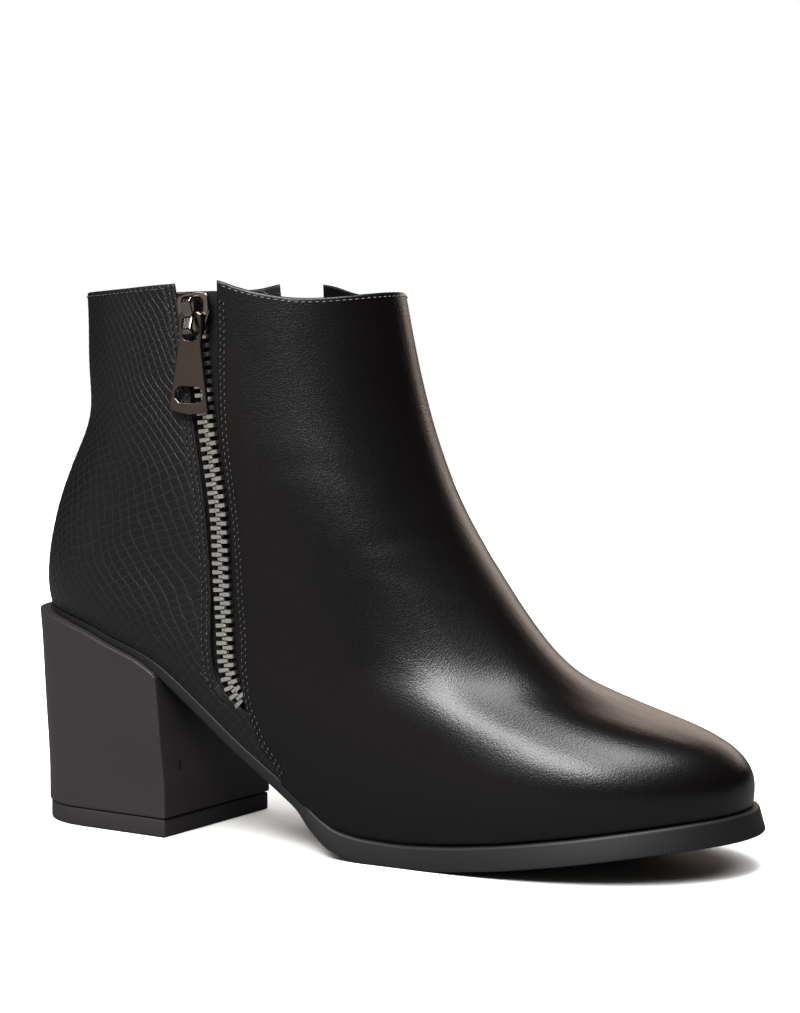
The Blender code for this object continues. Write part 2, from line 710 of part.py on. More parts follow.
def build_strip(name, edges, rows, margin, depth, thick, columns, colour, roughness):
    """A soft strip lying inside the wall behind a slot."""
    grid = []
    for up in rows:
        rear, front = edges(float(up))
        length = np.linalg.norm(upper_surface(math.pi, up) - upper_surface(0.0, up))
        reach = margin / (0.5 * length * max(0.4, abs(math.sin(rear))))
        low, high = min(rear, front) - reach, max(rear, front) + reach
        grid.append(np.linspace(low, high, columns))
    phi = np.array(grid)
    up = np.repeat(np.asarray(rows)[:, None], columns, axis=1)
    outer = offset_face(phi, up, np.full(phi.shape, depth))
    inner = offset_face(phi, up, np.full(phi.shape, depth + thick))
    keep = np.ones((len(rows) - 1, columns - 1), bool)
    verts, faces = shell_from_grid(outer, inner, keep, False)
    return make_object(name, verts, faces, colour, roughness)


def chain_path():
    """Dense points, normals and heights of the middle of the chain, from the bottom up."""
    up = np.linspace(CHAIN_LINE[0][0], CHAIN_TOP, 600)
    share = curve_through(column(CHAIN_LINE, 0), column(CHAIN_LINE, 1), up)
    point, normal, _, _ = surface_frame(at_share(share), up)
    run = np.concatenate([[0.0], np.cumsum(np.linalg.norm(np.diff(point, axis=0), axis=1))])
    return run, point, normal


def chain_frames(places):
    run, point, normal = chain_path()
    p = np.stack([np.interp(places, run, point[:, i]) for i in range(3)], axis=-1)
    n = np.stack([np.interp(places, run, normal[:, i]) for i in range(3)], axis=-1)
    n = n / np.linalg.norm(n, axis=-1, keepdims=True)
    ahead = np.stack([np.interp(places + 5e-4, run, point[:, i]) for i in range(3)], axis=-1)
    behind = np.stack([np.interp(places - 5e-4, run, point[:, i]) for i in range(3)], axis=-1)
    t = ahead - behind
    t = t - n * np.sum(t * n, axis=-1, keepdims=True)
    t = t / np.linalg.norm(t, axis=-1, keepdims=True)
    return p, t, n, np.cross(t, n)


def build_chain():
    run = chain_path()[0]
    half = 0.5 * TOOTH_PITCH
    stop = 2
    steps = int((run[-1] - 0.001) / half)
    places = 0.0005 + half * np.arange(steps + 1)
    p, t, n, w = chain_frames(places)
    across = np.array([-0.5 * CHAIN_WIDTH, -0.5 * CHAIN_CORE, 0.5 * CHAIN_CORE, 0.5 * CHAIN_WIDTH])
    base = p[:, None, :] + w[:, None, :] * across[None, :, None]
    outer = base
    inner = base - n[:, None, :] * CHAIN_HEIGHT
    keep = np.zeros((steps, 3), bool)
    keep[:, 1] = True
    keep[0::2, 0] = True
    keep[1::2, 2] = True
    keep[:stop, :] = True
    verts, faces = shell_from_grid(outer, inner, keep, False)
    return make_object("zip_chain", verts, faces, (0.62, 0.61, 0.59), 0.25, 1.0)


def prism(outline, holes, place, low, high):
    """A flat plate with holes in the local axes of place, from low to high."""
    loops = [outline] + list(holes)
    flat = [[Vector((x, y, 0.0)) for x, y in loop] for loop in loops]
    triangles = tessellate_polygon(flat)
    count = sum(len(loop) for loop in loops)
    points = [xy for loop in loops for xy in loop]
    verts = [place @ Vector((x, y, low)) for x, y in points]
    verts += [place @ Vector((x, y, high)) for x, y in points]
    faces = []
    for tri in triangles:
        faces.append([i for i in tri][::-1])
        faces.append([i + count for i in tri])
    start = 0
    for loop in loops:
        m = len(loop)
        for k in range(m):
            a, b = start + k, start + (k + 1) % m
            faces.append([a, b, b + count, a + count])
        start += m
    return verts, faces


def slider_place():
    """Local axes at the top of the slider, x across, y down the chain, z outward."""
    run, point, normal = chain_path()
    up = np.linspace(CHAIN_LINE[0][0], CHAIN_TOP, 600)
    place = np.interp(SLIDER_PLACE, up, run)
    p, t, n, w = chain_frames(np.array([place - 0.006]))
    p0 = chain_frames(np.array([place]))[0][0]
    z = Vector(n[0])
    y = -Vector(t[0])
    x = y.cross(z)
    frame = Matrix((x, y, z)).transposed().to_4x4()
    frame.translation = Vector(p0)
    return frame


def joined(name, pieces, colour, roughness, metallic):
    """One solid from overlapping closed pieces."""
    objects = [make_object(name + "_raw", v, f, colour, roughness, metallic) for v, f in pieces]
    base = objects[0]
    for other in objects[1:]:
        modifier = base.modifiers.new("join", "BOOLEAN")
        modifier.operation = "UNION"
        modifier.solver = "EXACT"
        modifier.object = other
    graph = bpy.context.evaluated_depsgraph_get()
    done = bpy.data.meshes.new_from_object(base.evaluated_get(graph))
    verts = [tuple(v.co) for v in done.vertices]
    faces = [list(f.vertices) for f in done.polygons]
    for obj in objects:
        bpy.data.objects.remove(obj, do_unlink=True)
    for material in [m for m in bpy.data.materials if m.users == 0 or m.name.startswith(name + "_raw")]:
        bpy.data.materials.remove(material)
    return make_object(name, verts, faces, colour, roughness, metallic)


def build_slider():
    place = slider_place()
    w = 0.5 * SLIDER_WIDTH
    n = 0.36 * SLIDER_WIDTH
    e = SLIDER_LENGTH
    body = [(-w + 0.0006, 0.0008), (-w, 0.002), (-w, 0.50 * e), (-n, 0.72 * e), (-n, e - 0.001),
            (-n + 0.001, e), (n - 0.001, e), (n, e - 0.001), (n, 0.72 * e), (w, 0.50 * e),
            (w, 0.002), (w - 0.0006, 0.0008), (0.0018, 0.0), (-0.0018, 0.0)]
    top = PLATE_LOW + SLIDER_PLATE
    pieces = [prism(body, [], place, PLATE_LOW, top)]
    inside = 0.5 * CHAIN_WIDTH + GAP + 0.0001
    for sign in (-1.0, 1.0):
        a, b = sorted((sign * inside, sign * (inside + 0.0011)))
        flange = [(a, 0.0025), (b, 0.0025), (b, 0.46 * e), (a, 0.46 * e)]
        pieces.append(prism(flange, [], place, -0.0017, PLATE_LOW + 0.0004))
    r = 0.5 * BRIDGE_WIDTH
    high = BRIDGE_UNDER + BRIDGE_THICKNESS
    side = place @ Matrix(((0, 0, 1, 0), (1, 0, 0, 0), (0, 1, 0, 0), (0, 0, 0, 1)))
    arch = [(0.0010, top - 0.0004), (0.0012, high - 0.0014), (0.0026, high), (0.0122, high),
            (0.0138, high - 0.0016), (0.0140, top - 0.0004), (0.0128, top - 0.0004),
            (0.0126, BRIDGE_UNDER - 0.0008), (0.0116, BRIDGE_UNDER), (0.0034, BRIDGE_UNDER),
            (0.0026, BRIDGE_UNDER - 0.0008), (0.0024, top - 0.0004)]
    pieces.append(prism(arch, [], side, -r, r))
    return joined("zip_slider", pieces, (0.55, 0.54, 0.53), 0.2, 1.0)


def pull_place():
    """Local axes of the pull, x along its hinge, y down the pull, z outward."""
    frame = slider_place()
    origin = frame @ Vector((0.0, PULL_HINGE, PULL_AXIS_HEIGHT))
    outward = frame.to_3x3() @ Vector((0.0, 0.0, 1.0))
    down = Vector((-0.03, 0.0, -1.0))
    down = (down - outward * down.dot(outward)).normalized()
    down = (down - outward * math.tan(PULL_LEAN)).normalized()
    across = down.cross(outward).normalized()
    outward = across.cross(down).normalized()
    place = Matrix((across, down, outward)).transposed().to_4x4()
    place.translation = origin
    return place


def build_pull():
    place = pull_place()
    long = PULL_LENGTH
    neck = 0.0041
    foot = 0.0064
    outline = [(-0.0024, -0.0010), (0.0024, -0.0010), (0.0038, -0.0004), (neck, 0.0012), (neck, 0.0050),
               (foot, long - 0.0030), (foot - 0.0006, long - 0.0021), (0.0030, long - 0.0009),
               (0.0, long - 0.0002), (-0.0030, long - 0.0009), (-foot + 0.0006, long - 0.0021),
               (-foot, long - 0.0030), (-neck, 0.0050), (-neck, 0.0012), (-0.0038, -0.0004)]
    ring = [(-0.0020, 0.0008), (0.0020, 0.0008), (0.0026, 0.0014), (0.0026, 0.0080),
            (0.0018, 0.0092), (-0.0018, 0.0092), (-0.0026, 0.0080), (-0.0026, 0.0014)]
    a, b = 0.0046, 0.0032
    t0, t1 = long - 0.0096, long - 0.0042
    window = [(-b, t0), (b, t0), (a, t0 + 0.0014), (a, t1 - 0.0014), (b, t1), (-b, t1),
              (-a, t1 - 0.0014), (-a, t0 + 0.0014)]
    half = 0.5 * PULL_THICKNESS
    verts, faces = prism(outline, [ring, window], place, -half, half)
    return make_object("zip_pull", verts, faces, (0.42, 0.39, 0.36), 0.2, 1.0,
                       origin=place.translation)


build_upper()
build_outsole()
build_insole()
build_heel()
tape_rows = np.concatenate([[ZIP_BOTTOM - 0.03], np.linspace(ZIP_BOTTOM, 0.985, 15)])
build_strip("zip_tape", zip_edges, tape_rows, TAPE_MARGIN, WALL + GAP, TAPE_THICKNESS, 6,
            (0.015, 0.015, 0.016), 0.8)
gore_rows = np.concatenate([[GORE_BOTTOM - 0.03], np.linspace(GORE_BOTTOM, 0.965, 9)])
build_strip("elastic_gore", gore_edges, gore_rows, GORE_MARGIN, WALL + GAP, GORE_THICKNESS, 7,
            (0.012, 0.012, 0.013), 0.85)
build_chain()
build_slider()
build_pull()
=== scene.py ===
# %% [markdown]
# # A zip ankle boot on a stacked block heel
#
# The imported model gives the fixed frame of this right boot: a hollow upper, sole, heel, zip and gore.
# This file dresses it. Most pieces are surfaces worked out as whole arrays from the same few
# sizes that shaped the solids, so each piece lies exactly where the solids say.
# Everything is in metres. The toe points to plus X, the inner side of the foot is plus Y.

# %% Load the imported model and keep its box
import math

import bmesh
import bpy
import numpy as np
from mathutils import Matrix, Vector
from mathutils.geometry import tessellate_polygon


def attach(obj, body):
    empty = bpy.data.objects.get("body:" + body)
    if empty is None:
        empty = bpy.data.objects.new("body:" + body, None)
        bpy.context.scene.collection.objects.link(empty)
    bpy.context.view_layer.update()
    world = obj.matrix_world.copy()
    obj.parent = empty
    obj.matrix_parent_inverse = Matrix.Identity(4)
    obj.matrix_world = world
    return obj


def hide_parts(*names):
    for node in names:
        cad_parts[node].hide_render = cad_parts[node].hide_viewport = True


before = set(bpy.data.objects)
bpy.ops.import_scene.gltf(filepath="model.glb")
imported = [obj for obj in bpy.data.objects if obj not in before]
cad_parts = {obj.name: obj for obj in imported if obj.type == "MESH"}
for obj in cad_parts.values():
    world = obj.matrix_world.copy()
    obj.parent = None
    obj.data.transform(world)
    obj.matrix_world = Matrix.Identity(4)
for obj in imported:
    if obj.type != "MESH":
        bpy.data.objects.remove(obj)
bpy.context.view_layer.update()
MM = 0.001

# %% [markdown]
# ## Where the camera stands
#
# The picture shows the outer side, turned 27 degrees toward the toe, from barely above the boot.
# The place and the long lens were found by laying the solid's outline over the picture's.

# %% Camera
CAMERA_PLACE = (0.4544, -0.7074, 0.1706)
CAMERA_TURN = math.radians(27.0)
CAMERA_DOWN = math.radians(4.75)
LENS_MM = 91.69

camera_data = bpy.data.cameras.new("camera")
camera_data.lens = LENS_MM
camera_data.sensor_width = 36.0
camera_data.sensor_fit = "AUTO"
camera_data.clip_start = 0.01
camera = bpy.data.objects.new("camera", camera_data)
camera.location = CAMERA_PLACE
camera.rotation_euler = (0.5 * math.pi - CAMERA_DOWN, 0.0, CAMERA_TURN)
bpy.context.scene.collection.objects.link(camera)
bpy.context.scene.camera = camera
print("camera", CAMERA_PLACE, "lens", LENS_MM)

# %% [markdown]
# ## Colours and nodes
#
# Colours are written as the hex values that a screen shows, and one function turns them into
# the linear values that light adds up in. The other small functions add shader nodes.

# %% Small helpers for materials


def linear(code):
    """Linear red, green, blue and alpha of an sRGB hex code, by the sRGB curve."""
    values = np.array([int(code[i:i + 2], 16) for i in (1, 3, 5)]) / 255.0
    low, high = values / 12.92, ((values + 0.055) / 1.055) ** 2.4
    return (*np.where(values <= 0.04045, low, high), 1.0)


def add(tree, kind, inputs=None, **settings):
    """Adds one node with its settings; an input that is given as a socket is linked to it."""
    node = tree.nodes.new("ShaderNode" + kind)
    for name, value in settings.items():
        setattr(node, name, value)
    for key, value in (inputs or {}).items():
        if isinstance(value, bpy.types.NodeSocket):
            tree.links.new(value, node.inputs[key])
        else:
            node.inputs[key].default_value = value
    return node


def new_material(name, colour, roughness, **more):
    """A Principled material with the values that hold all over the surface on its own sockets."""
    material = bpy.data.materials.new(name)
    material.use_nodes = True
    shader = material.node_tree.nodes["Principled BSDF"]
    shader.inputs["Base Color"].default_value = linear(colour)
    shader.inputs["Roughness"].default_value = roughness
    for key, value in more.items():
        shader.inputs[key.replace("_", " ")].default_value = value
    return material, material.node_tree, shader


def maths(tree, operation, *values):
    """Output of one Math node, whose inputs are numbers or other outputs."""
    return add(tree, "Math", dict(enumerate(values)), operation=operation).outputs[0]


def vector_maths(tree, operation, *values):
    """Output of one Vector Math node: a number for a length, a vector for the rest."""
    node = add(tree, "VectorMath", dict(enumerate(values)), operation=operation)
    return node.outputs["Value" if operation == "LENGTH" else 0]


def object_place(tree):
    """Output that holds the place on the piece in metres."""
    return add(tree, "TexCoord").outputs["Object"]


def map_parts(tree):
    """Outputs of the two parts of the piece's own map."""
    return add(tree, "SeparateXYZ", {0: add(tree, "UVMap", uv_map="UVMap").outputs[0]}).outputs[:2]


def colour_between(tree, shader, factor, first, second):
    """Drives the base colour from the first hex code at factor 0 to the second at factor 1."""
    node = add(tree, "Mix", {0: factor, 6: linear(first), 7: linear(second)}, data_type="RGBA")
    tree.links.new(node.outputs[2], shader.inputs["Base Color"])


def bump(tree, shader, height, strength, distance):
    """Tilts the surface's normal by a height, at a distance in metres for height 1."""
    node = add(tree, "Bump", {"Strength": strength, "Distance": distance, "Height": height})
    tree.links.new(node.outputs[0], shader.inputs["Normal"])


# %% [markdown]
# ## Floor and light
#
# A plain white floor and a white surround, as in a catalogue studio. Black leather shows almost
# nothing but what it reflects, so each soft light is placed where a highlight of the picture
# looks when the camera's ray is mirrored on the last: one box high over the camera for the broad
# sheen on the vamp, a strip overhead for the toe, a wide wall behind for the rim of light along
# the top line, and weak boxes and a card at the left for the metal and the heel. The paper has a
# light of its own that falls on nothing else, and it glows a little away from the boot, so that
# floor and surround meet without a line and the shadow stays.

# %% Floor
FLOOR_HALF = 1.4
# Where along X the glow's ring has its middle, the distances between which it grows, its strength.
GLOW_MIDDLE, GLOW_NEAR, GLOW_FAR, GLOW = 0.1, 0.18, 0.7, 0.8
PAPER_SEEN, PAPER_BOUNCE = "#f6f5f3", "#504f4e"

floor_mesh = bpy.data.meshes.new("floor")
corners = [(x * FLOOR_HALF, y * FLOOR_HALF, 0.0) for x, y in ((-1, -1), (1, -1), (1, 1), (-1, 1))]
floor_mesh.from_pydata(corners, [], [(0, 1, 2, 3)])
floor = bpy.data.objects.new("floor", floor_mesh)
bpy.context.scene.collection.objects.link(floor)
floor_paint, tree, shader = new_material("matt_white_paper", PAPER_SEEN, 0.9)
# Black leather mirrors a white floor too strongly beside the picture, so what light bounces
# off the paper is a mid grey, while the camera sees it white.
seen = add(tree, "LightPath").outputs["Is Camera Ray"]
colour_between(tree, shader, seen, PAPER_BOUNCE, PAPER_SEEN)
shifted = vector_maths(tree, "ADD", object_place(tree), (-GLOW_MIDDLE, 0.0, 0.0))
away = vector_maths(tree, "LENGTH", shifted)
sweep = add(tree, "MapRange", {"Value": away, "From Min": GLOW_NEAR, "From Max": GLOW_FAR, "To Max": GLOW})
shader.inputs["Emission Color"].default_value = (1.0, 1.0, 1.0, 1.0)
tree.links.new(maths(tree, "MULTIPLY", seen, sweep.outputs[0]), shader.inputs["Emission Strength"])
floor.data.materials.append(floor_paint)

# %% Soft lights


def soft_box(name, centre, aim, width, height, watts, colour="#ffffff"):
    """A rectangle light at centre that faces the point aim."""
    data = bpy.data.lights.new(name, "AREA")
    data.shape = "RECTANGLE"
    data.size, data.size_y = width, height
    data.energy = watts
    data.color = linear(colour)[:3]
    light = bpy.data.objects.new(name, data)
    direction = Vector(aim) - Vector(centre)
    light.location = centre
    light.rotation_euler = direction.to_track_quat("-Z", "Y").to_euler()
    light.visible_camera = False
    bpy.context.scene.collection.objects.link(light)
    return light


soft_box("box_over_camera", (0.13, -0.87, 0.99), (0.14, -0.03, 0.045), 0.60, 0.48, 21.5)
soft_box("strip_overhead", (0.42, -0.22, 1.28), (0.42, -0.10, 0.04), 0.42, 0.92, 15.0)
soft_box("box_low_left", (-0.12, -1.12, 0.60), (0.14, -0.03, 0.045), 0.40, 0.26, 0.45)
soft_box("wall_behind", (-0.1, 1.5, 0.46), (0.12, 0.0, 0.1), 1.3, 0.34, 3.6, "#ffeadb")
soft_box("box_high_left", (-0.42, -0.70, 1.04), (0.05, -0.03, 0.12), 0.30, 0.30, 2.2)
soft_box("box_left", (-1.3, -0.5, 0.40), (0.0, 0.0, 0.08), 0.5, 0.8, 0.5)
soft_box("card_front", (-0.47, -1.15, 0.15), (0.0, 0.0, 0.12), 0.40, 0.50, 0.3, "#fff2e6")
paper_light = soft_box("paper_light", (0.1, 0.0, 1.6), (0.1, 0.0, 0.0), 3.4, 3.4, 85.0)
paper_only = bpy.data.collections.new("paper_only")
paper_only.objects.link(floor)
paper_light.light_linking.receiver_collection = paper_only

# %% Surround
ROOM_LIGHT = 0.022

world = bpy.data.worlds.new("surround")
bpy.context.scene.world = world
world.use_nodes = True
sky = world.node_tree
sky.nodes.clear()
backdrop = add(sky, "Background", {"Color": (1.0, 1.0, 1.0, 1.0), "Strength": 1.0})
room = add(sky, "Background", {"Color": linear("#f4f1ee"), "Strength": ROOM_LIGHT})
mixed = add(sky, "MixShader", {0: add(sky, "LightPath").outputs["Is Camera Ray"],
                               1: room.outputs[0], 2: backdrop.outputs[0]})
add(sky, "OutputWorld", {"Surface": mixed.outputs[0]})
bpy.context.scene.view_settings.view_transform = "Standard"

# %% [markdown]
# ## The last as a formula
#
# A boot is built over a last, so the last comes first. Ten rings run from the edge at the sole
# up to the collar. Each ring runs half a turn either way, its half width is a spline over four
# stations and two end radii, and its height follows the sole line below and levels out above. A
# natural cubic spline joins the rings, so any point of the upper is one function of two numbers:
# the angle round the ring, and the share up the side.

# %% Sizes of the boot
FOOT_LENGTH = 0.2405
BALL_WIDTH = 0.075
SHAFT_WIDTH = 0.068
SEAT_WIDTH = 0.055
SEAT_HEIGHT = 0.0702
COLLAR_HEIGHT = 0.1702
TOE_SPRING = 0.0122
WALL = 0.0020
PANEL_STEP = 0.0008
SOLE_GAP = 0.0004
FORE_SOLE = 0.0066
WAIST_SOLE = 0.0033
SEAT_SOLE = 0.0015
RING_COLUMNS = ("back_x", "back_up", "front_x", "front_up", "sag", "swing", "back_r",
                "heel", "waist_l", "waist_m", "ball_l", "ball_m", "toe_l", "toe_m", "nose_r")
RINGS = np.array((
    (-0.1372, 0.000, 0.8524, 0.000, 1.00, 1.00, 0.98, 0.733, 0.787, 0.613, 0.970, 0.980, 0.813, 0.813, 1.02),
    (-0.1405, 0.068, 0.8536, 0.050, 0.86, 0.97, 1.02, 0.794, 0.858, 0.724, 1.030, 1.056, 0.845, 0.845, 0.98),
    (-0.1372, 0.168, 0.8391, 0.092, 0.68, 0.92, 1.00, 0.831, 0.898, 0.844, 1.036, 1.030, 0.812, 0.788, 0.87),
    (-0.1268, 0.278, 0.7983, 0.128, 0.48, 0.85, 0.96, 0.837, 0.915, 0.887, 0.986, 0.998, 0.702, 0.721, 0.75),
    (-0.1102, 0.388, 0.7152, 0.164, 0.32, 0.75, 0.92, 0.845, 0.936, 0.936, 0.928, 0.968, 0.632, 0.681, 0.67),
    (-0.0852, 0.508, 0.6170, 0.237, 0.18, 0.62, 0.89, 0.851, 0.983, 0.983, 0.932, 0.954, 0.636, 0.665, 0.70),
    (-0.0624, 0.638, 0.5297, 0.395, 0.08, 0.50, 0.88, 0.852, 1.019, 1.019, 0.967, 0.989, 0.674, 0.703, 0.76),
    (-0.0624, 0.778, 0.4611, 0.571, 0.02, 0.40, 0.89, 0.822, 1.022, 1.022, 0.982, 0.993, 0.692, 0.692, 0.80),
    (-0.0632, 0.898, 0.4133, 0.780, 0.00, 0.32, 0.91, 0.778, 1.009, 1.009, 0.949, 0.960, 0.662, 0.662, 0.80),
    (-0.0661, 1.000, 0.3842, 1.000, 0.00, 0.30, 0.92, 0.728, 0.998, 0.998, 0.927, 0.927, 0.618, 0.618, 0.78),
))
STATIONS = np.array((0.0, 0.15, 0.45, 0.70, 0.90, 1.0))
# Sole line: share along the foot, rise toward the seat, rise toward the toe.
SOLE_LINE = np.array((
    (0.000, 1.000, 0.000), (0.055, 0.974, 0.000), (0.116, 0.928, 0.000), (0.162, 0.873, 0.000),
    (0.206, 0.822, 0.000), (0.237, 0.772, 0.000), (0.265, 0.706, 0.000), (0.297, 0.617, 0.000),
    (0.372, 0.395, 0.000), (0.413, 0.284, 0.000), (0.445, 0.194, 0.000), (0.485, 0.077, 0.000),
    (0.511, 0.031, 0.000), (0.549, 0.006, 0.000), (0.595, 0.000, 0.000), (0.636, 0.000, 0.040),
    (0.719, 0.000, 0.220), (0.807, 0.000, 0.490), (0.915, 0.000, 0.830), (0.960, 0.000, 0.940),
    (1.000, 0.000, 1.000)))
# Middle of the last: share along the foot, sideways offset as a share of the ball width.
CENTRE_LINE = np.array(((0.00, 0.044), (0.14, 0.000), (0.26, -0.036), (0.42, -0.036),
                        (0.60, 0.030), (0.80, 0.050), (1.00, 0.080)))
# Collar: share along the ring, lift on the outer and on the inner side of the foot.
COLLAR_LINE = np.array((
    (0.00, 0.000, 0.000), (0.30, 0.026, 0.014), (0.40, 0.038, 0.026), (0.46, 0.044, 0.046),
    (0.52, 0.053, 0.048), (0.60, 0.060, 0.042), (0.65, 0.036, 0.030), (0.71, 0.010, 0.004),
    (0.80, -0.016, -0.014), (0.88, -0.018, -0.016), (1.00, 0.006, 0.006)))
print("foot", FOOT_LENGTH / MM, "mm long, collar at", COLLAR_HEIGHT / MM, "mm")

# %% Curves through points


def spline(x, y, at, paired=False):
    """Natural cubic spline: pieces of third degree whose bend is continuous and zero at the ends.

    y has one row per station. Every column is read at every place, or, where they are paired,
    column i at place i."""
    y = y if y.ndim == 2 else y[:, None]
    n, h = len(x), np.diff(x)
    slope = np.diff(y, axis=0) / h[:, None]
    inner = np.arange(1, n - 1)
    system = np.eye(n)
    for offset, weight in ((-1, h[:-1]), (0, 2 * (h[:-1] + h[1:])), (1, h[1:])):
        system[inner, inner + offset] = weight
    right = np.zeros_like(y)
    right[1:-1] = 6.0 * np.diff(slope, axis=0)
    bend = np.linalg.solve(system, right)
    k = np.clip(np.searchsorted(x, at, side="right") - 1, 0, n - 2)
    column = np.arange(y.shape[1]) if paired else slice(None)
    hk = h[k] if paired else h[k][:, None]
    left = (at - x[k]) if paired else (at - x[k])[:, None]
    rest = hk - left
    curve = (bend[k, column] * rest**3 + bend[k + 1, column] * left**3) / (6.0 * hk)
    curve = curve + (y[k, column] / hk - bend[k, column] * hk / 6.0) * rest
    return curve + (y[k + 1, column] / hk - bend[k + 1, column] * hk / 6.0) * left


def steady(x, y, at):
    """Monotone cubic: each slope is the weighted harmonic mean of its neighbours', so no overshoot."""
    at = np.clip(np.asarray(at, float), x[0], x[-1])
    h = np.diff(x)
    d = np.diff(y) / h
    m = np.concatenate([d[:1], np.zeros(len(x) - 2), d[-1:]])
    same = d[:-1] * d[1:] > 0.0
    w1, w2 = 2.0 * h[1:] + h[:-1], h[1:] + 2.0 * h[:-1]
    safe = np.where(same, d[:-1], 1.0), np.where(same, d[1:], 1.0)
    m[1:-1] = np.where(same, (w1 + w2) / (w1 / safe[0] + w2 / safe[1]), 0.0)
    k = np.clip(np.searchsorted(x, at, side="right") - 1, 0, len(x) - 2)
    t = (at - x[k]) / h[k]
    a = (1.0 + 2.0 * t) * (1.0 - t) ** 2 * y[k] + t * (1.0 - t) ** 2 * h[k] * m[k]
    return a + t * t * (3.0 - 2.0 * t) * y[k + 1] + t * t * (t - 1.0) * h[k] * m[k + 1]


def ease(value):
    """Soft step from 0 to 1: three times the square less two times the cube."""
    value = np.clip(value, 0.0, 1.0)
    return value * value * (3.0 - 2.0 * value)


def bell(distance, width):
    """Soft hump of height 1 round distance 0."""
    return np.exp(-(distance / width) ** 2)


# %% The upper's outer face


def sole_line(along):
    """Height of the sole edge: the fore sole, plus a rise to the seat, plus the toe's spring."""
    low = FORE_SOLE + SOLE_GAP
    seat = steady(SOLE_LINE[:, 0], SOLE_LINE[:, 1], along)
    toe = steady(SOLE_LINE[:, 0], SOLE_LINE[:, 2], along)
    return low + seat * (SEAT_HEIGHT - low) + toe * TOE_SPRING


def last_face(phi, up):
    """Point of the last at an angle round the ring and a share up the side.

    Along the foot it is half of one less the cosine of the angle. Sideways it is a splined
    half width times the sine. Its height is the ring's own slant plus a part of the sole's sag."""
    phi, up = np.broadcast_arrays(np.asarray(phi, float), np.asarray(up, float))
    shape = phi.shape
    phi, up = np.mod(phi.ravel(), 2.0 * math.pi), up.ravel()
    ring = dict(zip(RING_COLUMNS, spline(np.linspace(0.0, 1.0, len(RINGS)), RINGS, up).T))
    outer = phi <= math.pi
    turn = np.where(outer, phi, 2.0 * math.pi - phi)
    along = 0.5 * (1.0 - np.cos(turn))
    back_x, front_x = ring["back_x"] * FOOT_LENGTH, ring["front_x"] * FOOT_LENGTH
    length = front_x - back_x
    toe_z = FORE_SOLE + SOLE_GAP + TOE_SPRING
    back_z = SEAT_HEIGHT + ring["back_up"] * (COLLAR_HEIGHT - SEAT_HEIGHT)
    front_z = toe_z + ring["front_up"] * (COLLAR_HEIGHT - toe_z)
    chord = SEAT_HEIGHT + along * (toe_z - SEAT_HEIGHT)
    z = back_z + along * (front_z - back_z) + ring["sag"] * (sole_line(along) - chord)
    lifts = spline(COLLAR_LINE[:, 0], COLLAR_LINE[:, 1:], along)
    near_top = np.clip((up - 0.6) / 0.4, 0.0, 1.0) ** 2
    z = z + SHAFT_WIDTH * np.where(outer, lifts[:, 0], lifts[:, 1]) * near_top
    half = 0.5 * (BALL_WIDTH + (SHAFT_WIDTH - BALL_WIDTH) * ease(up / 0.75))
    widths = np.stack([ring["heel"], np.where(outer, ring["waist_l"], ring["waist_m"]),
                       np.where(outer, ring["ball_l"], ring["ball_m"]),
                       np.where(outer, ring["toe_l"], ring["toe_m"])]) * half
    knots = np.arccos(1.0 - 2.0 * STATIONS)
    ends = [np.sqrt(np.maximum(ring[r] * 0.25 * SEAT_WIDTH * length, 0.0)) for r in ("back_r", "nose_r")]
    full = np.concatenate([ends[0][None], widths / np.sin(knots[1:5])[:, None], ends[1][None]])
    y = np.where(outer, -1.0, 1.0) * spline(knots, full, turn, True) * np.sin(turn)
    foot = np.clip((back_x + along * length) / FOOT_LENGTH - RINGS[0, 0], 0.0, 1.0)
    y = y + ring["swing"] * BALL_WIDTH * spline(CENTRE_LINE[:, 0], CENTRE_LINE[:, 1], foot)[:, 0]
    return np.stack([back_x + along * length, y, z], axis=-1).reshape(shape + (3,))


def unit(vectors):
    """The same directions, one long each."""
    return vectors / np.maximum(np.linalg.norm(vectors, axis=-1, keepdims=True), 1e-12)


def last_frame(phi, up):
    """Point, outward normal and the direction round the ring, by small steps either way."""
    step = 1e-4
    phi, up = np.broadcast_arrays(np.asarray(phi, float), np.asarray(up, float))
    climb = last_face(phi, np.clip(up + step, 0.0, 1.0)) - last_face(phi, np.clip(up - step, 0.0, 1.0))
    round_ = last_face(phi + step, up) - last_face(phi - step, up)
    return last_face(phi, up), unit(np.cross(round_, climb)), unit(round_)


def at_share(share):
    """Angle round the ring of a share along it, on the outer side."""
    return np.arccos(1.0 - 2.0 * np.asarray(share, float))


print("toe point", np.round(last_face(math.pi, 0.0) / MM, 1), "mm")

# %% [markdown]
# ## From arrays to a mesh
#
# Each piece is a grid of points, row by row. One helper numbers the cells of a grid, and one
# puts points and cells into a mesh at once, without a loop over vertices.

# %% Grid cells and mesh


def grid_cells(rows, cols, wrap=False, start=0):
    """Corner numbers of the cells between neighbouring rows and columns of a grid."""
    r, c = np.meshgrid(np.arange(rows - 1), np.arange(cols if wrap else cols - 1), indexing="ij")
    n = (c + 1) % cols
    cells = np.stack([r * cols + c, r * cols + n, (r + 1) * cols + n, (r + 1) * cols + c], axis=-1)
    return cells.reshape(-1, 4) + start


def shell_cells(rows, cols):
    """Cells of an outer grid, an inner grid that faces the other way, and the rim between them."""
    size = rows * cols
    ids = np.arange(size).reshape(rows, cols)
    ring = np.concatenate([ids[0, :], ids[1:, -1], ids[-1, -2::-1], ids[-2:0:-1, 0]])
    after = np.roll(ring, -1)
    rim = np.stack([after, ring, ring + size, after + size], axis=-1)
    cells = grid_cells(rows, cols)
    return np.concatenate([cells, cells[:, ::-1] + size, rim])


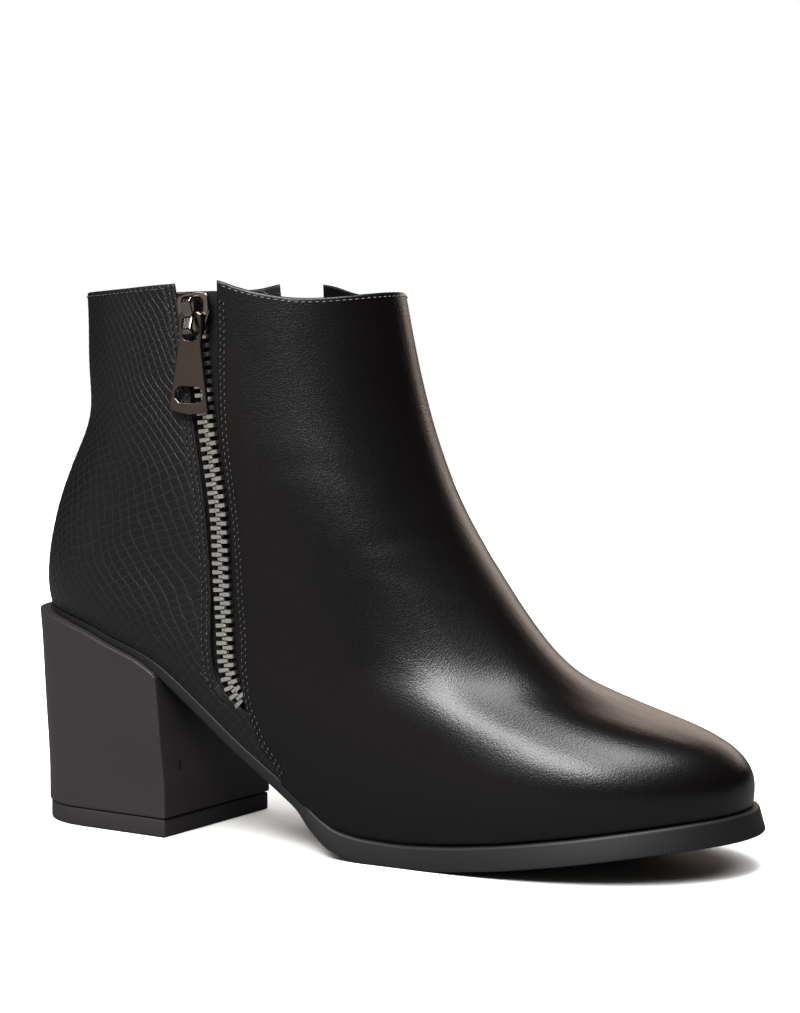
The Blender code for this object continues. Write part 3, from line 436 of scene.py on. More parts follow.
def put_mesh(name, points, faces, uv=None, smooth=True):
    """An object from an array of points and a list of arrays of faces, each n faces by k corners.

    smooth is one answer for all faces, or one for each array."""
    corners = np.concatenate([np.asarray(f).ravel() for f in faces]).astype(np.int32)
    sizes = np.concatenate([np.full(len(f), np.asarray(f).shape[1]) for f in faces])
    starts = np.concatenate([[0], np.cumsum(sizes)[:-1]]).astype(np.int32)
    mesh = bpy.data.meshes.new(name)
    mesh.vertices.add(len(points))
    mesh.vertices.foreach_set("co", np.ascontiguousarray(points, np.float32).ravel())
    mesh.loops.add(len(corners))
    mesh.loops.foreach_set("vertex_index", corners)
    mesh.polygons.add(len(sizes))
    mesh.polygons.foreach_set("loop_start", starts)
    mesh.update(calc_edges=True)
    kinds = smooth if isinstance(smooth, tuple) else (smooth,) * len(faces)
    flags = np.concatenate([np.full(len(f), kind) for f, kind in zip(faces, kinds)])
    mesh.polygons.foreach_set("use_smooth", flags)
    if uv is not None:
        layer = mesh.uv_layers.new(name="UVMap")
        layer.data.foreach_set("uv", np.ascontiguousarray(uv[corners], np.float32).ravel())
    mesh.validate()
    obj = bpy.data.objects.new(name, mesh)
    bpy.context.scene.collection.objects.link(obj)
    print(name, len(points), "points,", int((sizes - 2).sum()), "triangles")
    return obj


def dress(obj, material, body="boot", replaces=()):
    """Gives a finished piece its material and slot, and lets it ride on a body in a node's place."""
    obj.data.materials.append(material)
    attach(obj, body)
    if replaces:
        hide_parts(*replaces)
    return obj


# %% [markdown]
# ## Soft noise
#
# Leather is never quite even. A seeded value noise gives slow changes: random numbers on a
# lattice with soft steps in between. The same seed gives the same boot every time.

# %% Seeded noise
NOISE_SIZE = 64


def soft_noise(x, y, seed):
    """Random values from minus 1 to 1 on whole numbers, joined by soft steps."""
    table = np.random.default_rng(seed).uniform(-1.0, 1.0, (NOISE_SIZE, NOISE_SIZE))
    xi, yi = np.floor(x).astype(int), np.floor(y).astype(int)
    fx, fy = ease(x - xi), ease(y - yi)
    a, b, c, d = (table[(xi + i) % NOISE_SIZE, (yi + j) % NOISE_SIZE]
                  for i, j in ((0, 0), (1, 0), (0, 1), (1, 1)))
    return (a + (b - a) * fx) * (1.0 - fy) + (c + (d - c) * fx) * fy


# %% [markdown]
# ## The cut lines of the leather
#
# The upper is two panels. A smooth front panel makes the vamp and the front of the shaft, and
# its folded edge runs along the zip on the outer side. A rear quarter stamped with a reptile
# grain runs round the heel. On the inner side they meet at an elastic gore.

# %% Zip slot and gore slot
# Share up the side, then the slot's rear edge and the front panel's edge as shares along the ring.
ZIP_LINE = np.array((
    (0.000, 0.426, 0.433), (0.053, 0.414, 0.421), (0.074, 0.401, 0.408), (0.110, 0.394, 0.401),
    (0.145, 0.378, 0.394), (0.155, 0.359, 0.391), (0.170, 0.348, 0.390), (0.200, 0.343, 0.388),
    (0.260, 0.342, 0.388), (0.356, 0.351, 0.399), (0.450, 0.372, 0.421), (0.562, 0.399, 0.457),
    (0.677, 0.425, 0.494), (0.788, 0.454, 0.534), (0.870, 0.468, 0.563), (0.930, 0.468, 0.584),
    (1.000, 0.462, 0.603)))
GORE_LINE = np.array((
    (0.000, 0.426, 0.433), (0.053, 0.414, 0.421), (0.074, 0.401, 0.408), (0.110, 0.394, 0.401),
    (0.155, 0.384, 0.391), (0.260, 0.381, 0.388), (0.356, 0.392, 0.399), (0.450, 0.413, 0.421),
    (0.500, 0.422, 0.436), (0.530, 0.419, 0.446), (0.562, 0.418, 0.457), (0.677, 0.424, 0.494),
    (0.788, 0.434, 0.534), (0.870, 0.442, 0.563), (1.000, 0.452, 0.603)))
SLOT_BOTTOM = {"zip": 0.155, "gore": 0.500}


def slot_edges(kind, up):
    """Angles of a slot's rear edge and of the front panel's edge at a share up the side."""
    table = ZIP_LINE if kind == "zip" else GORE_LINE
    rear, front = (at_share(steady(table[:, 0], table[:, i], up)) for i in (1, 2))
    return (rear, front) if kind == "zip" else (2.0 * math.pi - rear, 2.0 * math.pi - front)


def edge_dense(count, fine):
    """Shares from 0 to 1 with a few extra close to both ends, where an edge is rolled."""
    near = np.array([0.0, 0.12, 0.3, 0.55, 1.0]) * fine
    return np.concatenate([near, np.linspace(0.0, 1.0, count)[1:-1] * (1.0 - 2.4 * fine) + 1.2 * fine,
                           (1.0 - near)[::-1]])


def arc_from(points, axis):
    """Length run along an axis of a line or a grid of points, from its first row or column."""
    steps = np.linalg.norm(np.diff(points, axis=axis), axis=-1)
    start = np.zeros_like(np.take(steps, [0], axis=axis))
    return np.concatenate([start, np.cumsum(steps, axis=axis)], axis=axis)


def read_along(run, values, at):
    """Each column of values, known at the lengths in run, read at other lengths."""
    return np.stack([np.interp(at, run, column) for column in values.T], axis=-1)


def rolled(distance, radius):
    """How far a surface drops at a rolled edge: a quarter circle of the radius."""
    inside = radius - np.minimum(distance, radius)
    return radius - np.sqrt(np.maximum(radius**2 - inside**2, 0.0))


def panel_grid(a, b, rows, share):
    """Angles from a to b in each row at the given shares, and each row's share up the side."""
    phi = a[:, None] + (b - a)[:, None] * share[None, :]
    return phi, np.broadcast_to(rows[:, None], phi.shape)


def hide(name, phi, up, top, thick, roll, relief=0.0, uv=None):
    """A leather panel on the last: two faces a thickness apart, with rolled edges and a relief.

    The outer face is the last moved out by top plus relief, less the roll near its sides and
    its upper edge."""
    point, normal, _ = last_frame(phi, up)
    across, climb = arc_from(point, 1), arc_from(point, 0)
    near = np.minimum.reduce([across, across[:, -1:] - across, climb[-1:] - climb])
    drop = rolled(near, roll)
    fade = ease(near / (2.0 * roll))
    outer = point + normal * (top - drop + relief * fade)[..., None]
    inner = point + normal * (top - thick + 0.6 * drop)[..., None]
    rows, cols = phi.shape
    points = np.concatenate([outer.reshape(-1, 3), inner.reshape(-1, 3)])
    twice = None if uv is None else np.concatenate([uv.reshape(-1, 2)] * 2)
    return put_mesh(name, points, [shell_cells(rows, cols)], uv=twice)


def distance_to(points, line):
    """Distance of each point of a grid from the nearest of many points along a line."""
    flat = points.reshape(-1, 3)
    near = np.full(len(flat), 1.0)
    for place in line:
        near = np.minimum(near, np.linalg.norm(flat - place, axis=1))
    return near.reshape(points.shape[:-1])


# %% [markdown]
# ## Front panel of smooth leather
#
# One hide, pulled over the toe and stitched down along the zip. It is the smooth face of the
# last, lifted by the step of a lapped seam, with its edges rolled.

# %% Smooth box leather
BOX_GRAIN = 0.0009
smooth_leather, tree, shader = new_material("smooth_box_leather", "#070505", 0.33, Specular_IOR_Level=0.45)
place = object_place(tree)
pores = add(tree, "TexVoronoi", {"Vector": place, "Scale": 1.0 / BOX_GRAIN}, feature="DISTANCE_TO_EDGE")
cloud = add(tree, "TexNoise", {"Vector": place, "Scale": 45.0, "Detail": 4.0})
wrinkle = add(tree, "TexNoise", {"Vector": place, "Scale": 700.0, "Detail": 3.0})
flat_pores = maths(tree, "MINIMUM", pores.outputs["Distance"], 0.25)
bump(tree, shader, maths(tree, "MULTIPLY_ADD", wrinkle.outputs[0], 0.5, flat_pores), 0.30, 0.00025)
rough = add(tree, "MapRange", {"Value": cloud.outputs[0], "To Min": 0.28, "To Max": 0.36})
tree.links.new(rough.outputs[0], shader.inputs["Roughness"])

# %% Front panel
LEATHER = 0.0012
# Two stitch rows run beside each slot at these distances, and the thread pulls the leather down.
SEAM_ROWS, SEAM_SINK, SEAM_HALF = (0.0011, 0.0024), 0.00009, 0.0004
# Soft troughs listed where the ankle bends: angle over pi and share up at both ends,
# depth and half width in millimetres.
CREASES = ((0.70, 0.690, 0.90, 0.735, 0.06, 2.8), (0.64, 0.655, 0.84, 0.665, 0.05, 2.4),
           (1.08, 0.700, 1.30, 0.665, 0.07, 2.6), (0.60, 0.770, 0.78, 0.795, 0.05, 3.2))
CREASE_BOW, CREASE_RIM, RIM_PLACE = 0.012, 0.45, 1.9

# Rows grow closer to the collar's rolled edge.
up_rows = np.concatenate([np.linspace(0.0, 0.97, 150),
                          1.0 - 0.03 * np.array([0.8, 0.6, 0.42, 0.28, 0.17, 0.09, 0.03, 0.0])])
phi, up = panel_grid(slot_edges("zip", up_rows)[1], slot_edges("gore", up_rows)[1], up_rows,
                     edge_dense(230, 0.006))
point = last_face(phi, up)
relief = 0.00005 * soft_noise(phi * 7.0, up * 9.0, 31) + 0.000015 * soft_noise(phi * 19.0, up * 25.0, 32)
t = np.linspace(0.0, 1.0, 40)
for a0, u0, a1, u1, deep, half in CREASES:
    bow = CREASE_BOW * np.sin(math.pi * t)
    away = distance_to(point, last_face((a0 + (a1 - a0) * t) * math.pi, u0 + (u1 - u0) * t + bow))
    half = half * MM
    relief -= deep * MM * (bell(away, half) - CREASE_RIM * bell(away - RIM_PLACE * half, half))
line = np.linspace(0.0, 1.0, 300)
for kind in ("zip", "gore"):
    away = distance_to(point, last_face(slot_edges(kind, line)[1], line))
    relief -= SEAM_SINK * sum(bell(away - row, SEAM_HALF) for row in SEAM_ROWS)
front_panel = hide("front_panel", phi, up, PANEL_STEP, LEATHER, 0.0006, relief)
dress(front_panel, smooth_leather, replaces=("upper",))

# %% [markdown]
# ## Rear quarter with a stamped reptile grain
#
# The grain is a bent lattice of small cells. One family of lines rises forward, the other
# falls steeply. Cells are small under the collar and larger low down.

# %% Lattice of the reptile grain
# Height, rise of one family of lines, fall of the other, both in degrees, and their pitch in mm.
GRAIN = np.array(((0.010, 32.0, 50.0, 3.1), (0.060, 32.0, 50.0, 3.1), (0.078, 31.0, 52.0, 3.1),
                  (0.092, 28.0, 57.0, 3.05), (0.110, 26.0, 60.0, 2.95), (0.130, 26.0, 60.0, 2.65),
                  (0.150, 29.0, 60.0, 2.35), (0.180, 32.0, 58.0, 2.15)))
GRAIN_MIDDLE = 0.034
# Each row of cells is shifted by a share of a cell that looks random: a sine at long steps.
JOG, JOG_STEP = 0.28, 12.9898
GROOVE_HALF, GROOVE_DEPTH = 0.13, 0.00011


def lattice(u, v):
    """Two line counts over the surface; their whole numbers are the lines of the grain.

    Each count is its lines' slope over their pitch, summed up the height, plus the same
    for the way forward, and bent a little by soft noise."""
    fine = np.linspace(GRAIN[0, 0], GRAIN[-1, 0], 400)
    rise, fall, pitch = (steady(GRAIN[:, 0], GRAIN[:, i], fine) for i in (1, 2, 3))
    rise, fall = np.radians(rise), np.radians(fall)
    step = np.diff(fine, prepend=fine[0]) / MM
    sums = np.cumsum(np.cos(rise) / pitch * step), np.cumsum(np.cos(fall) / pitch * step)
    um, vm = (u - GRAIN_MIDDLE) / MM, v / MM
    a = np.interp(v, fine, sums[0]) - um * np.interp(v, fine, np.sin(rise) / pitch)
    b = np.interp(v, fine, sums[1]) + um * np.interp(v, fine, np.sin(fall) / pitch)
    a = a + 0.42 * soft_noise(um / 13.0, vm / 13.0, 3) + 0.13 * soft_noise(um / 3.6, vm / 3.6, 4)
    b = b + 0.42 * soft_noise(um / 12.0 + 9.0, vm / 12.0, 5) + 0.13 * soft_noise(um / 3.6, vm / 3.6, 6)
    return a, b


def row_jog(a):
    """Shift of the row of cells that a point lies in."""
    return JOG * np.sin(np.floor(a) * JOG_STEP)


def from_line(count):
    """Distance from the nearest whole number."""
    share = count - np.floor(count)
    return np.minimum(share, 1.0 - share)


def grooves(a, b):
    """How deep the stamp presses, from 0 to 1, each row of cells jogged."""
    return np.maximum(bell(from_line(a), GROOVE_HALF), 0.85 * bell(from_line(b + row_jog(a)), GROOVE_HALF))


def quarter_material(name, colour):
    """Stamped leather: crisp lines from the lattice that the mesh carries as its UV map, bumped, and painted
    lighter as a painted highlight on their edges.
    """
    material, tree, shader = new_material(name, colour, 0.42)
    a, b = map_parts(tree)
    wave = maths(tree, "SINE", maths(tree, "MULTIPLY", maths(tree, "FLOOR", a), JOG_STEP))
    near = []
    for count in (a, maths(tree, "MULTIPLY_ADD", wave, JOG, b)):
        fold = maths(tree, "PINGPONG", count, 1.0)
        near.append(maths(tree, "MINIMUM", fold, maths(tree, "SUBTRACT", 1.0, fold)))
    line = add(tree, "MapRange", {"Value": maths(tree, "MINIMUM", *near), "From Max": 0.10},
               interpolation_type="SMOOTHSTEP").outputs[0]
    bump(tree, shader, line, 0.5, 0.00018)
    # The lines' lighter colour is a painted highlight on the groove edges, laid over their real bump.
    colour_between(tree, shader, line, "#201d1e", colour)
    return material


stamped_leather = quarter_material("reptile_stamped_leather", "#0d0b0c")

# %% Quarter in two halves, joined at the back seam
# A plain band runs beside the slot's rear edge, with two folds in it.
PLAIN_BAND, FOLD_ROWS, FOLD_HALF, FOLD_DEPTH = 0.0042, (0.0016, 0.0034), 0.0003, 0.00042
# Below the slot the quarter runs on by this angle under the front panel. The slot's edge turns
# into that lap within a share of the way up.
TUCK, TUCK_RISE = 0.012, 0.02


def quarter(name, side):
    """Half of the rear quarter, from the back seam to the slot's edge, tucked under the front panel."""
    kind = "zip" if side > 0 else "gore"
    rows = np.concatenate([np.linspace(0.0, 0.975, 232),
                           1.0 - 0.025 * np.array([0.7, 0.45, 0.25, 0.1, 0.0])])
    rear, front = slot_edges(kind, rows)
    edge = rear + (front + side * TUCK - rear) * ease((SLOT_BOTTOM[kind] - rows) / TUCK_RISE)
    share = edge_dense(190, 0.008)
    seam = np.full(len(rows), 0.0 if side > 0 else 2.0 * math.pi)
    phi, up = panel_grid(seam, edge, rows, share if side > 0 else share[::-1])
    point = last_face(phi, up)
    arc = arc_from(point[..., :2], 1)
    a, b = lattice(arc if side > 0 else arc - arc[:, -1:], point[..., 2])
    line = np.linspace(SLOT_BOTTOM[kind], 1.0, 240)
    away = distance_to(point, last_face(slot_edges(kind, line)[0], line))
    plain = ease((PLAIN_BAND - away) / 0.0004)
    a = np.where(plain > 0.5, np.floor(a) + 0.5, a)
    b = np.where(plain > 0.5, np.floor(b + row_jog(a)) + 0.5 - row_jog(a), b)
    folds = sum(bell(away - row, FOLD_HALF) for row in FOLD_ROWS)
    relief = -GROOVE_DEPTH * grooves(a, b) * (1.0 - plain) - FOLD_DEPTH * folds
    tuck = ease(side * (phi - front[:, None]) / TUCK + 0.3) * PANEL_STEP
    return hide(name, phi, up, 0.0, LEATHER, 0.0005, relief - tuck, uv=np.stack([a, b], axis=-1))


quarter_outer = quarter("quarter_outer", 1)
dress(quarter_outer, stamped_leather, replaces=("upper",))
quarter_inner = quarter("quarter_inner", -1)
dress(quarter_inner, stamped_leather, replaces=("upper",))

# %% [markdown]
# ## Lining
#
# Thin lining leather backs both panels and shows inside the collar.

# %% Lining
LINING_DEPTH, LINING_THICK, LINING_GAP = 0.00125, 0.00072, 0.004
lining_leather = new_material("lining_leather", "#3a302a", 0.62)[0]
rows = np.concatenate([np.linspace(0.0, 0.955, 60), [0.965, 0.972, 0.976, 0.978]])
(zip_rear, zip_front), (gore_rear, gore_front) = slot_edges("zip", rows), slot_edges("gore", rows)
for name, low, high in (("lining_front", zip_front, gore_front),
                        ("lining_rear", gore_rear - 2.0 * math.pi, zip_rear)):
    phi, up = panel_grid(low + LINING_GAP, high - LINING_GAP, rows, edge_dense(80, 0.01))
    lining = hide(name, phi, up, -LINING_DEPTH, LINING_THICK, 0.0003)
    dress(lining, lining_leather, replaces=("upper",))

# %% [markdown]
# ## Outsole
#
# A moulded rubber sole follows the sole line: thick and flat under the ball, thin and steep at
# the waist, thin again over the heel. Its edge is one profile carried round the whole outline,
# and fine ribs are cut into its lower edge round the toe.

# %% Sole edge sizes
WELT = 0.0024
SOLE_FLARE = 0.0014
FLAT_BAND = 0.0004
# Share along the foot, then shares of the waist's and the fore part's thickness and of the welt.
SOLE_BUILD = np.array(((0.00, 0.00, 0.00, 0.00), (0.20, 0.35, 0.00, 0.00), (0.27, 1.00, 0.00, 0.10),
                       (0.46, 1.00, 0.00, 0.25), (0.485, 1.00, 0.30, 0.60), (0.52, 1.00, 0.82, 0.95),
                       (0.56, 1.00, 1.00, 1.00), (1.00, 1.00, 1.04, 1.10)))


def build_share(column, along):
    """One column of the sole's build at shares along the foot."""
    return steady(SOLE_BUILD[:, 0], SOLE_BUILD[:, column], along)


def foot_share(x):
    """Share along the foot of a place along X."""
    return np.clip(x / FOOT_LENGTH - RINGS[0, 0], 0.0, 1.0)


def sole_depth(along):
    """Thickness: the seat's, plus the waist's share, plus the fore part's share."""
    return (SEAT_SOLE + build_share(1, along) * (WAIST_SOLE - SEAT_SOLE)
            + build_share(2, along) * (FORE_SOLE - WAIST_SOLE))


def sole_slope(along):
    """Rise of the sole line over run, from two near places."""
    high, low = np.clip(along + 0.004, 0.0, 1.0), np.clip(along - 0.004, 0.0, 1.0)
    return (sole_line(high) - sole_line(low)) / ((high - low) * FOOT_LENGTH)


def edge_out(phi):
    """Level direction that points out of the upper's lower edge."""
    ahead = last_face(phi + 1e-3, 0.0) - last_face(phi - 1e-3, 0.0)
    return unit(np.stack([ahead[:, 1], -ahead[:, 0], np.zeros(len(phi))], axis=-1))


def sole_rims(phi):
    """Upper and lower rim of the sole's edge round the outline, and the way out."""
    share = 0.5 * (1.0 - np.cos(phi))
    out = edge_out(phi)
    welt = build_share(3, share)[:, None]
    base = last_face(phi, 0.0)
    top = base + out * welt * WELT
    along = foot_share(top[:, 0])
    top[:, 2] = sole_line(along) - SOLE_GAP
    slope, depth = sole_slope(along), sole_depth(share)
    size = np.sqrt(1.0 + slope**2)
    low = top + np.stack([depth * slope / size, np.zeros(len(phi)), -depth / size], axis=-1)
    low[:, :2] += (base + out * welt * (WELT + SOLE_FLARE) - top)[:, :2]
    low[:, 2] = np.maximum(low[:, 2] - FLAT_BAND * build_share(2, along), 0.0)
    return top, low, out


# %% Outsole surface


def merged(obj, distance=1e-6):
    """Joins points that lie on each other, so that a piece made of several grids is closed."""
    work = bmesh.new()
    work.from_mesh(obj.data)
    bmesh.ops.remove_doubles(work, verts=work.verts, dist=distance)
    bmesh.ops.dissolve_degenerate(work, edges=work.edges, dist=1e-7)
    bmesh.ops.recalc_face_normals(work, faces=work.faces)
    work.to_mesh(obj.data)
    work.free()
    return obj


def closed_edge(name, band, across, relief=None):
    """A closed plate: a band of rows round an outline, and a flat grid between its two halves.

    The band is rows by columns by 3 and its columns run round from the heel. Each cap joins
    column j to its mirror column by straight lines."""
    rows, cols = band.shape[:2]
    half = cols // 2
    j = np.arange(half + 1)
    t = np.linspace(0.0, 1.0, across)[None, :, None]
    caps = []
    for row, sign in ((band[0], 1), (band[-1], -1)):
        cap = row[j][:, None] * (1.0 - t) + row[(cols - j) % cols][:, None] * t
        if relief is not None and sign < 0:
            cap[..., 2] += relief(cap) * np.minimum(1.0, np.minimum(t, 1.0 - t) * 12.0)[..., 0]
        caps.append(cap)
    size, cap_size = rows * cols, (half + 1) * across
    faces = [grid_cells(rows, cols, True)[:, ::-1], grid_cells(half + 1, across, start=size),
             grid_cells(half + 1, across, start=size + cap_size)[:, ::-1]]
    points = np.concatenate([band.reshape(-1, 3)] + [c.reshape(-1, 3) for c in caps])
    return merged(put_mesh(name, points, faces))


# Share down the edge and how far it stands in, in millimetres: a soft top edge, a fine step
# like a cemented rand, a plain side and a rounded lower edge.
EDGE_PROFILE = np.array(((0.00, 0.45), (0.02, 0.18), (0.06, 0.02), (0.12, 0.00), (0.55, 0.00), (0.90, 0.00),
                         (0.96, 0.06), (0.99, 0.2), (1.00, 0.5)))
RIB_PITCH, RIB_DEPTH, RIB_BAND = 0.0012, 0.00016, (0.85, 0.97)
TREAD_PITCH, TREAD_DEPTH = 0.0032, 0.00035
FULL_EDGE = 0.004

phi = np.linspace(0.0, 2.0 * math.pi, 1201)[:-1]
top, low, out = sole_rims(phi)
thin = np.minimum(1.0, np.linalg.norm(top - low, axis=1) / FULL_EDGE)[:, None]
ribs = 0.5 + 0.5 * np.cos(2.0 * math.pi * arc_from(top, 0) / RIB_PITCH)
ribs = (RIB_DEPTH * build_share(2, foot_share(top[:, 0])) * ribs)[:, None]
band = []
for q, inset in EDGE_PROFILE:
    row = top + (low - top) * q - out * inset * MM * thin
    band.append(row - out * ribs if RIB_BAND[0] < q < RIB_BAND[1] else row)


def tread(cap):
    """Fine cross grooves under the fore part, a cosine's peaks cut flat."""
    wave = np.cos(2.0 * math.pi * (cap[..., 0] + 0.35 * np.abs(cap[..., 1])) / TREAD_PITCH)
    return TREAD_DEPTH * np.clip(2.0 * wave - 0.6, 0.0, 1.0) * build_share(2, foot_share(cap[..., 0]))


rubber = new_material("moulded_rubber", "#100e0e", 0.55)[0]
outsole = closed_edge("outsole_moulded", np.array(band), 41, tread)
dress(outsole, rubber, replaces=("outsole",))

# %% [markdown]
# ## Heel block and heel tip
#
# The block is faced with a stacked look: fine level lines like layers of board, dyed charcoal.
# Each row of the block is the tip's rounded outline drawn toward the rim above it. A hard tip
# with a small step closes it below.

# %% Heel sizes
TIP_THICKNESS = 0.0060
TIP_LENGTH, TIP_WIDTH = 0.060, 0.056
TIP_ROUND, TIP_POWER, TIP_INSET = 0.48, 2.25, 0.0004
HEEL_YAW = math.radians(-6.0)
HEEL_RIM = 0.0040
BREAST = (0.243, 0.268)
LAYER = 0.0024
HEEL_PROFILE = np.array(((0.00, 0.00), (0.16, 0.01), (0.32, 0.15), (0.48, 0.36), (0.62, 0.52),
                         (0.76, 0.66), (0.88, 0.80), (0.96, 0.93), (1.00, 1.00)))


def even(points, count):
    """The same line, with its points spread evenly along its length."""
    run = arc_from(points[:, :2], 0)
    return read_along(run, points, np.linspace(0.0, run[-1], count))


def tip_outline(count, inset):
    """Flat front and a back of a superellipse, turned by the heel's yaw, from the outer corner."""
    half, back, front = 0.5 * TIP_WIDTH - inset, inset - 0.5 * TIP_LENGTH, 0.5 * TIP_LENGTH - inset
    deep = TIP_ROUND * TIP_WIDTH
    turn = np.linspace(-0.5 * math.pi, 0.5 * math.pi, 181)
    x = back + deep - deep * np.abs(np.cos(turn)) ** (2.0 / TIP_POWER)
    y = half * np.sign(np.sin(turn)) * np.abs(np.sin(turn)) ** (2.0 / TIP_POWER)
    line = np.column_stack([np.concatenate([[front], x, [front]]), np.concatenate([[-half], y, [half]])])
    c, s = math.cos(HEEL_YAW), math.sin(HEEL_YAW)
    return even(line, count) @ np.array(((c, s), (-s, c)))


def heel_rim(count):
    """The block's top loop: outside the upper by the rim, just under the sole."""
    phi = np.linspace(float(at_share(BREAST[0])), -float(at_share(BREAST[1])), 241)
    turn = np.clip(np.abs(phi) / phi[0], 0.0, 1.0) * 0.5 * math.pi
    point = last_face(phi, 0.0) + edge_out(phi) * (HEEL_RIM * (0.5 + 0.5 * np.cos(turn)))[:, None]
    line = even(point, count)
    along = foot_share(line[:, 0])
    depth = (sole_depth(along) + 0.0003) * np.sqrt(1.0 + sole_slope(along) ** 2)
    line[:, 2] = sole_line(along) - SOLE_GAP - depth
    return line


# %% Heel block


def turns_left(loop):
    """1 where a closed outline runs anticlockwise, else minus 1, by the sign of its area."""
    ahead = np.roll(loop, -1, axis=0)
    return math.copysign(1.0, np.sum(loop[:, 0] * ahead[:, 1] - ahead[:, 0] * loop[:, 1]))


def loop_inset(loop, distance):
    """A closed outline moved inward, each point along the mean of its two edges' normals."""
    ahead = np.roll(loop, -1, axis=0) - np.roll(loop, 1, axis=0)
    normal = unit(np.stack([-ahead[:, 1], ahead[:, 0]], axis=-1))
    return loop + normal * (turns_left(loop) * np.broadcast_to(distance, len(loop)))[:, None]


def stacked(name, rows_xyz, chords):
    """A closed block from loops, row by row, with caps of chords between the loop's two halves."""
    rows, cols = rows_xyz.shape[:2]
    j = np.arange(cols // 2)
    t = np.linspace(0.0, 1.0, chords)[None, :, None]
    caps = [row[j][:, None] * (1.0 - t) + row[cols - 1 - j][:, None] * t for row in rows_xyz[[0, -1]]]
    size, cap = rows * cols, len(j) * chords
    faces = [grid_cells(rows, cols, True), grid_cells(len(j), chords, start=size),
             grid_cells(len(j), chords, start=size + cap)[:, ::-1]]
    points = np.concatenate([rows_xyz.reshape(-1, 3)] + [c.reshape(-1, 3) for c in caps])
    return merged(put_mesh(name, points, faces))


def with_front(back_loop, front_count):
    """Adds points along the straight front, so that the loop is closed by even short steps."""
    t = np.linspace(0.0, 1.0, front_count + 2)[1:-1, None]
    half = front_count // 2
    front = back_loop[-1] * (1.0 - t) + back_loop[0] * t
    return np.concatenate([front[half:], back_loop, front[:half]])


# Points round the back of the outline and along its flat front.
COLS, FRONT = 200, 60
SEAM_DEPTH, SEAM_WIDTH = 0.000035, 0.00018
# The small dark scuff low on the heel's front face: its middle, its lean in degrees, and what
# the place is multiplied by along each axis, so that the scuff ends at about 1.
SCUFF_PLACE, SCUFF_LEAN, SCUFF_SQUASH = (0.029, -0.0224, 0.0221), 18.0, (80.0, 1250.0, 520.0)
BOARD = "#342f30"

rim = with_front(heel_rim(COLS), FRONT)
foot = with_front(tip_outline(COLS, 0.0), FRONT)
share = np.concatenate([[0.0, 0.002, 0.006], np.linspace(0.012, 0.985, 190), [0.991, 0.996, 1.0]])
blend = steady(HEEL_PROFILE[:, 0], HEEL_PROFILE[:, 1], share)[:, None, None]
flat = foot[None] * (1.0 - blend) + rim[None, :, :2] * blend
z = TIP_THICKNESS + share[:, None] * (rim[None, :, 2] - TIP_THICKNESS)
level = (z - TIP_THICKNESS) / LAYER
seam = bell((level - np.round(level)) * LAYER, SEAM_WIDTH)
round_edge = rolled(np.minimum(share, 1.0 - share) * 0.06, 0.0006)[:, None]
uneven = 0.6 + 0.4 * soft_noise(level, np.arange(foot.shape[0])[None] / 17.0, 21)
flat = np.array([loop_inset(a, b) for a, b in zip(flat, SEAM_DEPTH * seam * uneven + round_edge)])
block = np.concatenate([flat, z[..., None]], axis=-1)

heel_cover, tree, shader = new_material("dyed_stacked_board", BOARD, 0.46)
shift = vector_maths(tree, "ADD", object_place(tree), tuple(-v for v in SCUFF_PLACE))
lean = add(tree, "VectorRotate", {"Vector": shift, "Angle": math.radians(SCUFF_LEAN)},
           rotation_type="X_AXIS")
reach = vector_maths(tree, "LENGTH", vector_maths(tree, "MULTIPLY", lean.outputs[0], SCUFF_SQUASH))
scuff = add(tree, "MapRange", {"Value": reach, "From Min": 0.6, "From Max": 1.2})
colour_between(tree, shader, scuff.outputs[0], "#020101", BOARD)
heel = stacked("heel_block_stacked", block[:, ::-1], 40)
dress(heel, heel_cover, replaces=("heel_block",))

# %% Heel tip
# Height and how far the outline stands in there, in millimetres.
TIP_PROFILE = ((0.0, 0.7), (0.08, 0.35), (0.3, 0.08), (0.7, 0.0),
               (4.9, 0.0), (5.5, 0.03), (5.68, 0.12), (5.7, 0.3))

loop = with_front(tip_outline(COLS, TIP_INSET), FRONT)
tip_rows = [np.column_stack([loop_inset(loop, inset * MM), np.full(len(loop), height * MM)])
            for height, inset in TIP_PROFILE]
tip_rubber = new_material("hard_tip_rubber", "#322e2f", 0.6)[0]
tip = stacked("heel_tip_hard", np.array(tip_rows)[:, ::-1], 30)
dress(tip, tip_rubber, replaces=("heel_tip",))

# %% [markdown]
# ## Zip teeth
#
# Bright metal teeth clamp on the two tapes in turn, left and right. One tooth is a small bar with
# a narrower head, eight corners round and seven stations long, repeated along the chain.

# %% Path of the chain
# Share up the side and share along the ring of the chain's middle.
CHAIN_LINE = np.array(((0.1620, 0.3850), (0.1760, 0.3750), (0.2050, 0.3665), (0.2592, 0.3640),
                       (0.3899, 0.3780), (0.5779, 0.4280), (0.7950, 0.4920), (0.9030, 0.5160),
                       (1.0000, 0.5280)))
CHAIN_TOP, SLIDER_PLACE, TOOTH_PITCH = 0.985, 0.980, 0.00272
TEETH_SINK = 0.00105


def chain_angle(up):
    """Angle of the chain's middle at a share up the side."""
    return at_share(spline(CHAIN_LINE[:, 0], CHAIN_LINE[:, 1], up)[:, 0])


chain_up = np.linspace(CHAIN_LINE[0, 0], CHAIN_TOP, 600)
chain_point, chain_normal, _ = last_frame(chain_angle(chain_up), chain_up)
chain_run = arc_from(chain_point, 0)


def chain_frames(places):
    """Point, way up the chain, way out and way across at lengths along the chain."""
    p, ahead, behind = (read_along(chain_run, chain_point, places + d) for d in (0.0, 5e-4, -5e-4))
    n, t = unit(read_along(chain_run, chain_normal, places)), ahead - behind
    t = unit(t - n * np.sum(t * n, axis=-1, keepdims=True))
    return p, t, n, np.cross(t, n)


